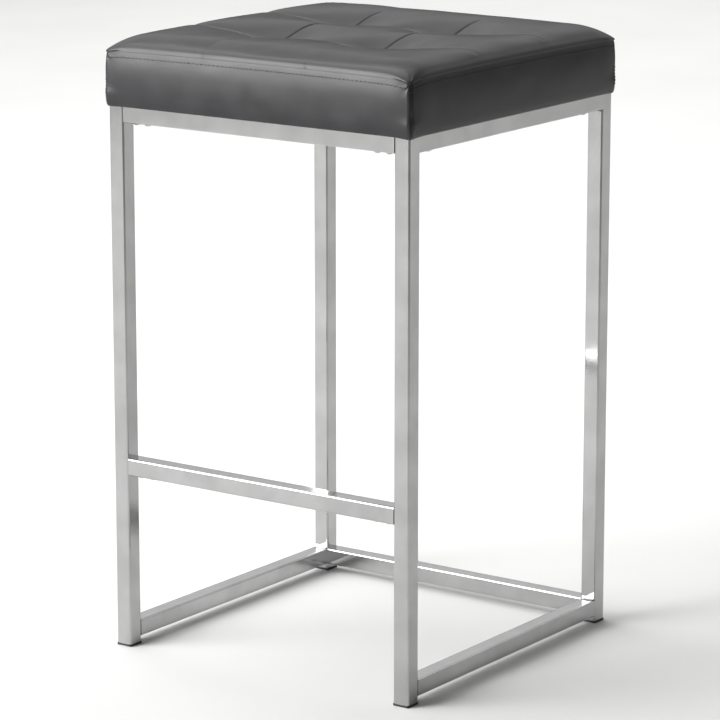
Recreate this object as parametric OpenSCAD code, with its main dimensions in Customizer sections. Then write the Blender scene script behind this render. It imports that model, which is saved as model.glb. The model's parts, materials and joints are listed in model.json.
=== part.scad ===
// Counter stool: a square padded seat on an open frame of chrome-plated square tube.
// Millimetres. Origin on the floor under the middle of the frame, +Z up, front towards -Y.

/* [Frame] */
// Width of the frame across the outer faces of the legs
frame_w = 390; // [320:1:460]
// Depth of the frame across the outer faces of the legs
frame_d = 390; // [320:1:460]
// Height of the top of the frame above the floor
frame_h = 603; // [440:1:700]
// Height of the top of the footrest above the floor
footrest_h = 214.3; // [120:0.1:320]
// Height of the top of the base rails above the floor
base_rail_h = 27; // [24:0.5:90]
// Outer width of the square tube
tube = 19; // [18:0.5:24]
// Wall of the square tube
tube_wall = 1.5; // [1:0.1:2]
// Radius of the tube's outer edges
tube_edge_r = 2; // [0.5:0.1:3]
// Leg length of the weld fillets in the corners of the side frames
weld_leg = 3.5; // [2:0.1:5]

/* [Rail joints] */
// Length of the tongue that each bolted rail slides over
tongue_len = 36; // [33:0.5:50]
// Distance from the leg to the first screw of a bolted rail
rail_screw_first = 12; // [9:0.5:14]
// Distance between the two screws at a rail's end
rail_screw_pitch = 15; // [12:0.5:16]
// Thread diameter of every screw
screw_d = 6; // [5:0.5:6.5]
// Diameter of the screw heads
head_d = 10; // [9:0.1:12]
// Height of the screw heads
head_h = 3; // [2:0.1:4]
// Length of the rail screws under their heads
rail_screw_len = 14; // [8:0.5:16]
// Length of the seat screws under their heads
seat_screw_len = 36; // [32:0.5:38]
// Distance of the seat screws from the front and rear faces of the frame
seat_screw_inset = 46; // [34:0.5:80]

/* [Glides] */
// Thickness of the glide under the leg
glide_lip = 2.4; // [1.5:0.1:4]
// Overhang of the glide past the tube on each side
glide_overhang = 0.7; // [0:0.1:1.5]
// Radius of the glide's lower edges
glide_edge_r = 1.2; // [0.5:0.1:1.4]
// Length of the glide's plug inside the leg
glide_plug_len = 16; // [10:0.5:24]
// Wall of the glide's plug
glide_plug_wall = 1.6; // [1:0.1:2.5]
// Number of fins round the plug
glide_fins = 3; // [2:1:5]
// Thickness of one fin
glide_fin_t = 1; // [0.6:0.1:1.5]
// Reach of the fins past the plug
glide_fin_reach = 1.3; // [0.8:0.1:2]

/* [Seat] */
// Overhang of the seat past the frame on each side
seat_overhang = 5; // [4:0.5:20]
// Radius of the seat's upright corners
seat_corner_r = 6; // [4:0.5:12]
// Height of the top seam above the underside of the seat, at the corners
seam_h = 58; // [46:0.5:75]
// Rise of the top seam from the corners to the middle of each side
seam_rise = 1.5; // [0:0.5:6]
// Draw-in of the seam from the widest part of the side panels
seam_draw = 1.6; // [0.4:0.1:4]
// Draw-in of each side between its corners
side_draw = 1.2; // [0:0.1:4]
// Thickness of the cover
cover_t = 1.2; // [0.8:0.1:2]
// Radius where the side panels turn under the seat
hem_r = 7; // [3:0.5:8]
// Width of the cover that is pulled under the board
hem_w = 36; // [26:0.5:45]
// Diameter of the screw holes through the cover and the foam's core
hem_hole_d = 9; // [8:0.1:12]

/* [Tufting] */
// Distance of each sewn channel from the middle of the seat
channel_at = 66; // [50:0.5:80]
// Half width of the crease in the bottom of a channel
crease_half_w = 7; // [4:0.5:12]
// Depth of the two channels that run from side to side
cross_channel_depth = 9.5; // [3:0.5:12]
// Reach of those channels into the squares in front of them and behind
cross_channel_reach = 23; // [12:1:30]
// Depth of the two channels that run from front to rear
long_channel_depth = 1.5; // [0:0.5:6]
// Reach of those channels into the squares on their left and right
long_channel_reach = 16; // [8:1:30]
// Distance from the outside of the seat over which channels run out
channel_fade = 115; // [40:1:130]
// Width of the rolled edge round the top
roll_w = 40; // [20:1:60]
// Height of the rolled edge above the seam
roll_h = 16; // [8:0.5:20]
// Further rise of the crown in the middle of the seat
crown_h = 0.5; // [0:0.5:12]
// Further depth of the four tufts where channels cross
tuft_depth = 6.5; // [2:0.5:12]
// Reach of a tuft's dimple from its middle
tuft_reach = 40; // [20:1:50]

/* [Seat core] */
// Thickness of the plywood seat board
board_t = 12; // [9:0.5:18]
// Setback of the board from the outside of the seat
board_setback = 4.5; // [4:0.5:12]
// Corner radius of the board
board_corner_r = 8; // [3:0.5:20]
// Bevel round the underside of the board
board_bevel = 4; // [3.5:0.5:6]
// Diameter of the flange of the tee nuts
tee_flange_d = 19; // [14:0.5:24]
// Thickness of the flange of the tee nuts
tee_flange_t = 1.4; // [1:0.1:2]
// Wall of the barrel of the tee nuts
tee_wall = 0.9; // [0.6:0.1:1.5]
// Length of the barrel of the tee nuts in the board
tee_barrel_len = 8; // [5:0.5:8.5]
// Room in the foam above each tee nut
tee_room = 5; // [3:0.5:10]
// Diameter of the twine that holds each tuft
tie_d = 1.6; // [1:0.1:3]
// Diameter of the washer that anchors the twine under the board
tie_washer_d = 12; // [8:0.5:20]
// Thickness of that washer
tie_washer_t = 0.8; // [0.4:0.1:0.9]
// Thickness of the dust cover under the seat
dust_t = 0.6; // [0.3:0.1:1]
// Gap between the dust cover and the rails round it
dust_gap = 5; // [2:0.5:12]
// Corner radius of the dust cover
dust_corner_r = 10; // [4:1:30]

/* [Fits] */
// Clearance between parts that slide together, on each side
slide_fit = 0.2; // [0.1:0.05:0.4]
// Clearance between a screw and the thread that holds it, on each side
thread_fit = 0.1; // [0.05:0.05:0.2]
// Clearance between a screw and its hole in the tube, on each side
screw_fit = 0.4; // [0.2:0.1:0.8]
// Clearance between the foam and the cover
soft_fit = 0.4; // [0.3:0.1:1]

/* [Hidden] */
$fn = 48;
// Overrun of every cut past the face it opens
over = 1;

tube_in = tube - 2*tube_wall;
leg_x = frame_w/2 - tube/2;
leg_y = frame_d/2 - tube/2;
inner_x = frame_w/2 - tube;
inner_y = frame_d/2 - tube;
top_z = frame_h - tube/2;
foot_z = footrest_h - tube/2;
base_z = base_rail_h - tube/2;
rail_screw_x = [for (i = [0, 1]) inner_x - rail_screw_first - i*rail_screw_pitch];
seat_screw_y = frame_d/2 - seat_screw_inset;
wall_hole_d = screw_d + 2*screw_fit;
thread_hole_d = screw_d + 2*thread_fit;

seat_half_x = frame_w/2 + seat_overhang;
seat_half_y = frame_d/2 + seat_overhang;
board_z = frame_h + cover_t;
foam_z = board_z + board_t;
barrel_d = thread_hole_d + 2*tee_wall;
barrel_hole_d = barrel_d + 2*slide_fit;
tie_hole_d = tie_d + 2*slide_fit;

// Stations of the seat's grid, from the middle to a side. The shares spread the ones between named places.
square_shares = [0, 1/3, 2/3];
border_shares = [0.12, 0.32, 0.55, 0.78, 0.93];
channel_side = channel_at + crease_half_w;
function half_stations(half) = concat(
    [for (s = square_shares) s*channel_at],
    [channel_at - crease_half_w, channel_at, channel_side],
    [for (s = border_shares) channel_side + s*(half - seat_corner_r - channel_side)],
    [half - seat_corner_r, half]);
function both_ways(list) = concat(
    [for (i = [len(list) - 1 : -1 : 1]) -list[i]],
    list);
grid_x = both_ways(half_stations(seat_half_x));
grid_y = both_ways(half_stations(seat_half_y));
last = len(grid_x) - 1;

// Share of a full quarter turn's corner that lies outside its arc's middle
arc_share = 1 - sqrt(1/2);
// Smallest corner radius of the cover's inner outlines
least_r = 0.4;

// Plan position of grid point (x, y) on the outline drawn in by inset: the sides bow in, the corners are round.
function bow(v, half) = side_draw*(1 - pow(v/half, 2));
function at_end(v, half) = abs(v) >= half ? sign(v) : 0;
function corner_cut(inset) = max(seat_corner_r - inset, least_r)*arc_share;
function plan(x, y, inset) = let (corner = at_end(x, seat_half_x)*at_end(y, seat_half_y) != 0) [
    x*(seat_half_x - inset)/seat_half_x - sign(x)*pow(x/seat_half_x, 4)*bow(y, seat_half_y)
        - (corner ? sign(x)*corner_cut(inset) : 0),
    y*(seat_half_y - inset)/seat_half_y - sign(y)*pow(y/seat_half_y, 4)*bow(x, seat_half_x)
        - (corner ? sign(y)*corner_cut(inset) : 0)];

// Height of the seam's own surface, and of the tufted crown above it
function seam_z(x, y) = frame_h + seam_h
    + seam_rise*(1 - pow(x/seat_half_x, 2)*pow(y/seat_half_y, 2));
function roll(v, half) = let (t = max(abs(v) - half + roll_w, 0)/roll_w) sqrt(max(1 - t*t, 0));
function crown(x, y) = crown_h*(1 - pow(x/seat_half_x, 4))*(1 - pow(y/seat_half_y, 4));
function from_channel(v) = abs(abs(v) - channel_at);
function run_out(v, half) = let (t = min((half - abs(v))/channel_fade, 1)) t*t*(3 - 2*t);
function cross_channel(x, y) = cross_channel_depth*run_out(x, seat_half_x)
    *exp(-from_channel(y)/cross_channel_reach);
function long_channel(x, y) = long_channel_depth*run_out(y, seat_half_y)
    *exp(-from_channel(x)/long_channel_reach);
function dimple(v) = exp(-pow(from_channel(v)/tuft_reach, 2.7));
function top_surface(x, y) = seam_z(x, y) + roll(x, seat_half_x)*roll(y, seat_half_y)
    *(roll_h + crown(x, y) - cross_channel(x, y) - long_channel(x, y) - tuft_depth*dimple(x)*dimple(y));
tuft_z = top_surface(channel_at, channel_at);

// Rounded square in plan, with true arcs
module rounded_square(w, d, r) {
    square([w - 2*r, d], center = true);
    square([w, d - 2*r], center = true);
    for (x = [-1, 1], y = [-1, 1])
        translate([x*(w/2 - r), y*(d/2 - r)]) circle(r);
}

// Square tube that stands on the origin
module tube_z(len) {
    difference() {
        linear_extrude(len) rounded_square(tube, tube, tube_edge_r);
        translate([0, 0, -over])
            linear_extrude(len + 2*over) square(tube_in, center = true);
    }
}

// Square tube along X, centred on the origin
module tube_x(len) {
    rotate([0, 90, 0]) translate([0, 0, -len/2]) tube_z(len);
}

// Square tube along Y, centred on the origin
module tube_y(len) {
    rotate([-90, 0, 0]) translate([0, 0, -len/2]) tube_z(len);
}

// Everything above a mitre that falls from the frame's outer top edge towards the middle
module above_mitre(y_side) {
    reach = tube + over;
    mirror([0, y_side > 0 ? 1 : 0, 0])
        translate([0, -frame_d/2, frame_h])
            rotate([90, 0, 90])
                linear_extrude(frame_w, center = true)
                    polygon([[-over, over], [reach, over], [reach, -reach]]);
}

// Leg with its top mitred to meet a side rail
module leg(x_side, y_side) {
    difference() {
        translate([x_side*leg_x, y_side*leg_y, glide_lip]) tube_z(frame_h - glide_lip);
        above_mitre(y_side);
    }
}

// Top rail of a side frame, mitred at both ends, with two holes for the seat screws
module side_top_rail(x_side) {
    color("silver") difference() {
        intersection() {
            translate([x_side*leg_x, 0, top_z]) tube_y(frame_d);
            mitred_side();
        }
        for (y = [-1, 1])
            translate([x_side*leg_x, y*seat_screw_y, frame_h - tube - over])
                cylinder(d = wall_hole_d, h = tube + 2*over);
    }
}

// Outline of a mitred rail seen from the side
module mitred_side() {
    translate([0, 0, frame_h])
        rotate([90, 0, 90])
            linear_extrude(frame_w + 2*over, center = true)
                polygon([[-frame_d/2, 0], [frame_d/2, 0], [inner_y, -tube], [-inner_y, -tube]]);
}

module side_base_rail(x_side) {
    color("silver") translate([x_side*leg_x, 0, base_z]) tube_y(2*inner_y);
}

// Concave fillet of weld that fills the corner of +Y and +Z, as wide as the flat of the tube
module weld_fillet() {
    rotate([90, 0, 90])
        linear_extrude(tube - 2*tube_edge_r, center = true)
            difference() {
                square(weld_leg);
                translate([weld_leg, weld_leg]) circle(weld_leg);
            }
}

// Welds of one side frame: under the top rail and on the base rail, at both legs
module side_welds(x_side) {
    color("silver")
        for (y = [0, 1]) mirror([0, y, 0]) translate([x_side*leg_x, -inner_y, 0]) {
            translate([0, 0, base_rail_h]) weld_fillet();
            translate([0, 0, frame_h - tube]) mirror([0, 0, 1]) weld_fillet();
        }
}

// Rail along X between two legs, with two screw holes at each end of its underside
module bolted_rail(y, z) {
    color("silver") difference() {
        translate([0, y, z]) tube_x(2*inner_x);
        for (side = [-1, 1], x = rail_screw_x)
            translate([side*x, y, z - tube/2 - over])
                cylinder(d = wall_hole_d, h = tube_wall + 2*over);
    }
}

// Steel tongues on the legs, one inside each end of a bolted rail, tapped for the screws
module rail_tongues(y, z) {
    size = tube_in - 2*slide_fit;
    color("dimgray") for (side = [-1, 1]) difference() {
        translate([side*(inner_x - tongue_len/2), y, z])
            cube([tongue_len, size, size], center = true);
        for (x = rail_screw_x)
            translate([side*x, y, z - tube/2])
                cylinder(d = thread_hole_d, h = tube);
    }
}

// Low domed screw that points up, with its head's bearing face on the origin and a hexagon socket
module domed_screw(len) {
    socket_d = screw_d*0.66;
    dome_r = (pow(head_d/2, 2) + pow(head_h, 2))/(2*head_h);
    difference() {
        union() {
            cylinder(d = screw_d, h = len);
            intersection() {
                translate([0, 0, dome_r - head_h]) sphere(dome_r, $fn = 96);
                translate([0, 0, -head_h]) cylinder(d = head_d, h = head_h);
            }
        }
        translate([0, 0, -head_h - over]) cylinder(d = socket_d, h = head_h/2 + over, $fn = 6);
    }
}

module rail_screws(y, z) {
    color("gainsboro") for (side = [-1, 1], x = rail_screw_x)
        translate([side*x, y, z - tube/2]) domed_screw(rail_screw_len);
}

module seat_screws() {
    color("gainsboro") for (x = [-1, 1], y = [-1, 1])
        translate([x*leg_x, y*seat_screw_y, frame_h - tube]) domed_screw(seat_screw_len);
}

// Outline with its two lower corners rounded, for one view of a glide
module lip_side(w) {
    translate([0, glide_lip/2 + glide_edge_r/2])
        square([w, glide_lip - glide_edge_r], center = true);
    translate([0, glide_lip/2]) square([w - 2*glide_edge_r, glide_lip], center = true);
    for (s = [-1, 1]) translate([s*(w/2 - glide_edge_r), glide_edge_r]) circle(glide_edge_r);
}

// Push-in glide: a rounded pad under the leg and a hollow plug with fins inside it
module glide(x_side, y_side) {
    w = tube + 2*glide_overhang;
    plug = tube_in - 2*slide_fit - 2*glide_fin_reach;
    fin_pitch = (glide_plug_len - glide_fin_t)/glide_fins;
    color("#1b1b1d") translate([x_side*leg_x, y_side*leg_y, 0]) {
        intersection() {
            linear_extrude(glide_lip) rounded_square(w, w, tube_edge_r + glide_overhang);
            rotate([90, 0, 0]) linear_extrude(w + 2*over, center = true) lip_side(w);
            rotate([90, 0, 90]) linear_extrude(w + 2*over, center = true) lip_side(w);
        }
        difference() {
            union() {
                translate([0, 0, glide_lip/2])
                    linear_extrude(glide_lip/2 + glide_plug_len) square(plug, center = true);
                for (i = [1 : glide_fins])
                    translate([0, 0, glide_lip + i*fin_pitch])
                        linear_extrude(glide_fin_t) square(plug + 2*glide_fin_reach, center = true);
            }
            translate([0, 0, glide_lip])
                linear_extrude(glide_plug_len + over)
                    square(plug - 2*glide_plug_wall, center = true);
        }
    }
}

// Outline of the board seen from one side, with its two lower edges bevelled
module board_side(w) {
    polygon([[-w/2 + board_bevel, 0], [w/2 - board_bevel, 0], [w/2, board_bevel],
        [w/2, board_t], [-w/2, board_t], [-w/2, board_bevel]]);
}

// Plywood board with a hole for each tee nut and each tuft's twine
module seat_board() {
    w = 2*(seat_half_x - board_setback);
    d = 2*(seat_half_y - board_setback);
    color("burlywood") difference() {
        translate([0, 0, board_z]) intersection() {
            linear_extrude(board_t) rounded_square(w, d, board_corner_r);
            rotate([90, 0, 0]) linear_extrude(d + 2*over, center = true) board_side(w);
            rotate([90, 0, 90]) linear_extrude(w + 2*over, center = true) board_side(d);
        }
        at_seat_screws() translate([0, 0, board_z - over])
            cylinder(d = barrel_hole_d, h = board_t + 2*over);
        at_tufts() translate([0, 0, board_z - over])
            cylinder(d = tie_hole_d, h = board_t + 2*over);
    }
}

module at_seat_screws() {
    for (x = [-1, 1], y = [-1, 1]) translate([x*leg_x, y*seat_screw_y, 0]) children();
}

module at_tufts() {
    for (x = [-1, 1], y = [-1, 1]) translate([x*channel_at, y*channel_at, 0]) children();
}

// Tee nuts sunk into the board from above, with their threads for the seat screws
module tee_nuts() {
    color("silver") at_seat_screws() difference() {
        union() {
            translate([0, 0, foam_z]) cylinder(d = tee_flange_d, h = tee_flange_t);
            translate([0, 0, foam_z - tee_barrel_len]) cylinder(d = barrel_d, h = tee_barrel_len + tee_flange_t);
        }
        translate([0, 0, foam_z - tee_barrel_len - over])
            cylinder(d = thread_hole_d, h = tee_barrel_len + tee_flange_t + 2*over);
    }
}

// Waxed twine from each tuft through foam and board to a washer under the board
module tuft_ties() {
    low = board_z - tie_washer_t;
    color("dimgray") at_tufts() {
        translate([0, 0, low]) cylinder(d = tie_washer_d, h = tie_washer_t);
        translate([0, 0, low]) cylinder(d = tie_d, h = tuft_z - cover_t - soft_fit - low);
    }
}

// Places of one sheet's points: a grid of rows over the whole seat at an inset and a depth under the surface
function sheet(inset, depth) = [for (y = grid_y, x = grid_x)
    let (p = plan(x, y, inset)) [p[0], p[1], top_surface(x, y) - depth]];

// Triangles of a sheet whose points start at first, with rows of last + 1 points
function sheet_faces(first, up) = [for (j = [0 : last - 1], i = [0 : last - 1], half = [0, 1])
    let (a = first + j*(last + 1) + i, b = a + 1, c = b + last + 1, d = c - 1,
        tri = half == 0 ? [a, c, b] : [a, d, c])
    up ? tri : [tri[0], tri[2], tri[1]]];

// Indices of a sheet's border, counter-clockwise seen from above
border = concat(
    [for (i = [0 : last - 1]) i],
    [for (j = [0 : last - 1]) j*(last + 1) + last],
    [for (i = [last : -1 : 1]) last*(last + 1) + i],
    [for (j = [last : -1 : 1]) j*(last + 1)]);

// Triangles between two closed rings of point numbers, the upper ring first
function wall_faces(upper, lower) = let (n = len(upper)) [for (i = [0 : n - 1], half = [0, 1])
    let (k = (i + 1)%n) half == 0 ? [upper[i], upper[k], lower[i]] : [upper[k], lower[k], lower[i]]];

// Tufted top of the cover: an even sheet that follows the padded squares, the channels and the rolled edge
module cover_top() {
    n = len(grid_x)*len(grid_y);
    color("#3c3c3e") polyhedron(
        points = concat(sheet(seam_draw, 0), sheet(seam_draw + cover_t, cover_t)),
        faces = concat(sheet_faces(0, true), sheet_faces(n, false),
            wall_faces(border, [for (b = border) b + n])));
}

// Foam block that fills the cover down to the board, with room for the tee nuts and the twine
module seat_foam() {
    inset = seam_draw + cover_t + soft_fit;
    depth = cover_t + soft_fit;
    top = sheet(inset, depth);
    n = len(top);
    ring = [for (b = border) [top[b][0], top[b][1], foam_z]];
    m = len(ring);
    color("khaki") difference() {
        polyhedron(
            points = concat(top, ring, [[0, 0, foam_z]]),
            faces = concat(sheet_faces(0, true),
                wall_faces(border, [for (i = [0 : m - 1]) n + i]),
                [for (i = [0 : m - 1]) [n + i, n + (i + 1)%m, n + m]]));
        at_seat_screws() translate([0, 0, foam_z - over])
            cylinder(d = tee_flange_d + 2*soft_fit, h = tee_room + over);
        at_tufts() translate([0, 0, foam_z - over])
            cylinder(d = tie_hole_d, h = tuft_z - foam_z + 2*over);
    }
}

// Section of a side panel as [inset, height share of the seam, height], outside first, seam to hem and back.
face_shares = [1, 0.78, 0.52, 0.26];
hem_turns = [0, 30, 60, 90];
function belly(share) = seam_draw*pow(abs(2*share - 1), 2);
function side_outline(skin) = concat(
    [for (s = face_shares) [belly(s) + skin, s, s == 1 ? -skin : 0]],
    [for (a = hem_turns) [seam_draw + hem_r - (hem_r - skin)*cos(a), 0, hem_r - (hem_r - skin)*sin(a)]],
    [[hem_w, 0, skin]]);
function reversed(list) = [for (i = [len(list) - 1 : -1 : 0]) list[i]];
side_section = concat(side_outline(0), reversed(side_outline(cover_t)));

// Side panel of the cover on +X or +Y and its mirror image: seam, belly, turned hem and flap under the board
module side_panel(along_x, side) {
    stations = along_x ? grid_x : grid_y;
    half = along_x ? seat_half_y : seat_half_x;
    k = len(side_section);
    rings = [for (s = stations, q = side_section)
        let (x = along_x ? s : side*half, y = along_x ? side*half : s,
            p = plan(x, y, q[0]), seam = seam_z(x, y) - frame_h)
        [p[0], p[1], frame_h + q[2] + q[1]*seam]];
    turned = along_x != (side < 0);
    walls = [for (j = [0 : last - 1], i = [0 : k - 1], h = [0, 1])
        let (a = j*k + i, b = j*k + (i + 1)%k, c = b + k, d = a + k)
        h == 0 ? [a, b, c] : [a, c, d]];
    ends = concat(
        [for (i = [0 : k/2 - 2], h = [0, 1]) end_face(0, i, k, h)],
        [for (i = [0 : k/2 - 2], h = [0, 1]) flipped(end_face(last*k, i, k, h))]);
    faces = concat(walls, ends);
    difference() {
        polyhedron(points = rings, faces = turned ? [for (f = faces) flipped(f)] : faces);
        if (!along_x) at_seat_screws()
            translate([0, 0, frame_h - over]) cylinder(d = hem_hole_d, h = cover_t + 2*over);
    }
}

function flipped(f) = [f[0], f[2], f[1]];
function end_face(first, i, k, half) = let (a = first + i, b = a + 1, c = first + k - 2 - i, d = c + 1)
    half == 0 ? [a, d, b] : [b, d, c];

// Black dust cover inside the frame's opening, flat against the cover's flaps
module dust_cover() {
    color("#202022") translate([0, 0, frame_h - dust_t]) linear_extrude(dust_t)
        rounded_square(2*(inner_x - dust_gap), 2*(inner_y - dust_gap), dust_corner_r);
}

color("silver") leg(-1, -1);  // front_left_leg
color("silver") leg(1, -1);  // front_right_leg
color("silver") leg(-1, 1);  // rear_left_leg
color("silver") leg(1, 1);  // rear_right_leg
side_top_rail(-1);  // left_top_rail
side_top_rail(1);  // right_top_rail
side_base_rail(-1);  // left_base_rail
side_base_rail(1);  // right_base_rail
side_welds(-1);  // left_frame_welds
side_welds(1);  // right_frame_welds
bolted_rail(-leg_y, top_z);  // front_top_rail
bolted_rail(leg_y, top_z);  // rear_top_rail
bolted_rail(-leg_y, foot_z);  // footrest_bar
bolted_rail(leg_y, base_z);  // rear_base_rail
rail_tongues(-leg_y, top_z);  // front_top_tongues
rail_tongues(leg_y, top_z);  // rear_top_tongues
rail_tongues(-leg_y, foot_z);  // footrest_tongues
rail_tongues(leg_y, base_z);  // rear_base_tongues
rail_screws(-leg_y, top_z);  // front_top_rail_screws
rail_screws(leg_y, top_z);  // rear_top_rail_screws
rail_screws(-leg_y, foot_z);  // footrest_screws
rail_screws(leg_y, base_z);  // rear_base_rail_screws
glide(-1, -1);  // front_left_glide
glide(1, -1);  // front_right_glide
glide(-1, 1);  // rear_left_glide
glide(1, 1);  // rear_right_glide
seat_screws();
tee_nuts();
seat_board();
seat_foam();
tuft_ties();
cover_top();  // cover_top_panel
color("#57575a") side_panel(true, -1);  // cover_front_panel
color("#57575a") side_panel(true, 1);  // cover_rear_panel
color("#3c3c3e") side_panel(false, -1);  // cover_left_panel
color("#3c3c3e") side_panel(false, 1);  // cover_right_panel
dust_cover();
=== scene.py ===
"""Counter stool: a tufted leatherette seat on a frame of chromed square tube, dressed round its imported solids.

Lengths are millimetres, and become metres where a mesh, a light or the camera is made. +Z is up, -Y the front.
"""
from __future__ import annotations

import itertools
import json
import logging
import math
import sys
from dataclasses import dataclass
from enum import Enum

import bpy
import numpy as np
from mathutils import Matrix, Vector

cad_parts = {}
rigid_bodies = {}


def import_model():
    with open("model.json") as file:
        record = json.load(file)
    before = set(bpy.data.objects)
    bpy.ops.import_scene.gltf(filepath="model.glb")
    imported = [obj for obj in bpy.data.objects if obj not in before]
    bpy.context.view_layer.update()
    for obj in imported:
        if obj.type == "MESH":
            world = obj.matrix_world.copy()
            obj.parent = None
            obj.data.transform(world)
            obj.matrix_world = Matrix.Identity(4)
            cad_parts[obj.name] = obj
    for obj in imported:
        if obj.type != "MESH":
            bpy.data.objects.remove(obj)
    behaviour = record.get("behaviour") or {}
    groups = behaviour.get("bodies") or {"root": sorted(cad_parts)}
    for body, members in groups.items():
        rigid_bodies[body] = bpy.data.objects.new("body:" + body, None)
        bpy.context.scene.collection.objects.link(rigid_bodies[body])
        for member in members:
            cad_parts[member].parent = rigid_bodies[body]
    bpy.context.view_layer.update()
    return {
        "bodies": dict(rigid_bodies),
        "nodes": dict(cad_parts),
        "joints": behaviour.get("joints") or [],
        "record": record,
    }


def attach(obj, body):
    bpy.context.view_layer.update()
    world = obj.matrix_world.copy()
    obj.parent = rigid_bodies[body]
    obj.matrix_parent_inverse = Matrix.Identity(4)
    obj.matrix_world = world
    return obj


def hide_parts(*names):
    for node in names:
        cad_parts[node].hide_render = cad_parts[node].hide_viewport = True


LOG = logging.getLogger("counter_stool")
MM = 0.001
BODY = "root"
# height of the frame's top, and the row of stitches: its pitch and how far it lies below the top seam
FRAME_TOP = 603.0
STITCH_PITCH = 5.4
STITCH_BELOW = 6.6
# how near a point has to be to count as on a line, in millimetres
NEAR = 0.1
# where most of a noise texture's values lie, from its dark to its pale
NOISE_SPAN = (0.35, 0.65)
NOISE_WIDE = (0.3, 0.7)
# scale of the wave textures, at which a band repeats every 0.63 of their unit
WAVE_SCALE = 0.5
Array = np.ndarray
Colour = tuple[float, float, float, float]
Pair = tuple[float, float]
Values = tuple[float, ...]
Rows = tuple[Values, ...]
Tree = bpy.types.NodeTree
Node = bpy.types.Node
Socket = bpy.types.NodeSocket


def linear_colour(code: str) -> Colour:
    """Turns an sRGB hex colour into a linear one.

    Args:
        code: Colour as "#rrggbb".

    Returns:
        Linear red, green, blue and a full alpha.
    """
    parts = [int(code[i:i + 2], 16) / 255 for i in (1, 3, 5)]
    low = [c / 12.92 if c <= 0.04045 else ((c + 0.055) / 1.055) ** 2.4 for c in parts]
    return low[0], low[1], low[2], 1.0


def add_node(tree: Tree, kind: str, inputs: dict | None = None, **settings: object) -> Node:
    """Adds a node with its settings, values and links.

    Args:
        tree: Tree that gets the node.
        kind: Blender's name of the node type, without its ShaderNode.
        inputs: Values, sockets or nodes, for their first output, by input name or number.
        settings: Properties of the node.

    Returns:
        The new node.
    """
    node = tree.nodes.new("ShaderNode" + kind)
    for name, value in settings.items():
        setattr(node, name, value)
    for key, value in (inputs or {}).items():
        if isinstance(value, (Socket, Node)):
            tree.links.new(value.outputs[0] if isinstance(value, Node) else value, node.inputs[key])
        else:
            node.inputs[key].default_value = value
    return node


def smooth_step(low: float, high: float, value: Array) -> Array:
    """Cubic ramp 3t^2 - 2t^3, from 0 where value is low to 1 where it is high; low may exceed high."""
    t = np.clip((value - low) / (high - low), 0.0, 1.0)
    return t * t * (3 - 2 * t)


def bell(value: Array, width: float, power: float = 2.0) -> Array:
    """Bump exp(-|value/width|^power), which is 1 in its middle."""
    return np.exp(-np.abs(value / width) ** power)


def groove(value: Array, size: Pair) -> Array:
    """Depth at a distance from the middle of a groove, whose size is its depth and its half-width."""
    return size[0] * bell(value, size[1])


def rounded_square(x: Array, y: Array, half: float, radius: float,
                   rounding: Array | float = 1.0) -> tuple[Array, Array]:
    """Rounds the corners of a square of stations.

    A corner cell (a, b) of the unit square goes to (a*sqrt(1 - b^2/2), b*sqrt(1 - a^2/2)).

    Args:
        x: Stations along x, from -half to half.
        y: Stations along y, from -half to half.
        half: Half the square's width.
        radius: Corner radius.
        rounding: 1 for the full corner radius, towards 0 for a sharper corner.

    Returns:
        Distances from the middle along x and along y.
    """
    far = [np.abs(v) for v in (x, y)]
    cell = [np.clip((v - half + radius) / radius, 0, 1) for v in far]
    px, py = (np.minimum(v, half - radius) + radius * a * (1 - rounding * (1 - np.sqrt(1 - b * b / 2)))
              for v, a, b in zip(far, cell, cell[::-1]))
    return px, py


def join(*parts: Array) -> Array:
    """Arrays one after the other along their first axis."""
    return np.concatenate(parts)


def places_of(x: Array, y: Array, z: Array) -> Array:
    """Places, one row each, from grids of their x, y and z."""
    return np.stack([x, y, z], axis=-1).reshape(-1, 3)


def curve_weights(source: Array, target: Array) -> Array:
    """Weights that carry values from one list of lengths to another through cubic Hermite curves.

    Args:
        source: Rising lengths at which values are known.
        target: Lengths at which they are wanted.

    Returns:
        One row of weights per target.
    """
    one = np.eye(len(source))
    slope = np.gradient(one, source, axis=0)
    cell = np.clip(np.searchsorted(source, target) - 1, 0, len(source) - 2)
    step = (source[cell + 1] - source[cell])[:, None]
    t = (target - source[cell])[:, None] / step
    return ((1 - t) ** 2 * ((1 + 2 * t) * one[cell] + t * step * slope[cell])
            + t * t * ((3 - 2 * t) * one[cell + 1] - (1 - t) * step * slope[cell + 1]))


def rim(index: Array) -> Array:
    """Point numbers round a grid's border, counter-clockwise from the first one."""
    return join(index[0, :-1], index[:-1, -1], index[-1, :0:-1], index[:0:-1, 0])


def looped(rows: Array) -> Array:
    """Rows that end with their first column once more."""
    return np.concatenate([rows, rows[:, :1]], axis=1)


def grid_quads(index: Array) -> Array:
    """Quads of a grid of point numbers, counter-clockwise where columns run right and rows run up."""
    corners = [index[:-1, :-1], index[:-1, 1:], index[1:, 1:], index[1:, :-1]]
    return np.stack(corners, axis=-1).reshape(-1, 4)


def point_normals(points: Array, quads: Array) -> Array:
    """Unit normals at points: each quad's crossed diagonals summed over the quads round a point.

    Args:
        points: Places, one row each.
        quads: Point numbers of each quad.

    Returns:
        One unit normal per point.
    """
    a, b, c, d = (points[quads[:, k]] for k in range(4))
    across = np.cross(c - a, d - b)
    total = np.zeros_like(points)
    for k in range(4):
        np.add.at(total, quads[:, k], across)
    return total / np.maximum(np.linalg.norm(total, axis=1, keepdims=True), 1e-9)


def put(name: str, data: bpy.types.ID) -> bpy.types.Object:
    """Puts a mesh, a light or a camera into the scene as an object at the origin.

    Args:
        name: The object's name.
        data: What it holds.

    Returns:
        The new object.
    """
    holder = bpy.data.objects.new(name, data)
    bpy.context.scene.collection.objects.link(holder)
    return holder


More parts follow.
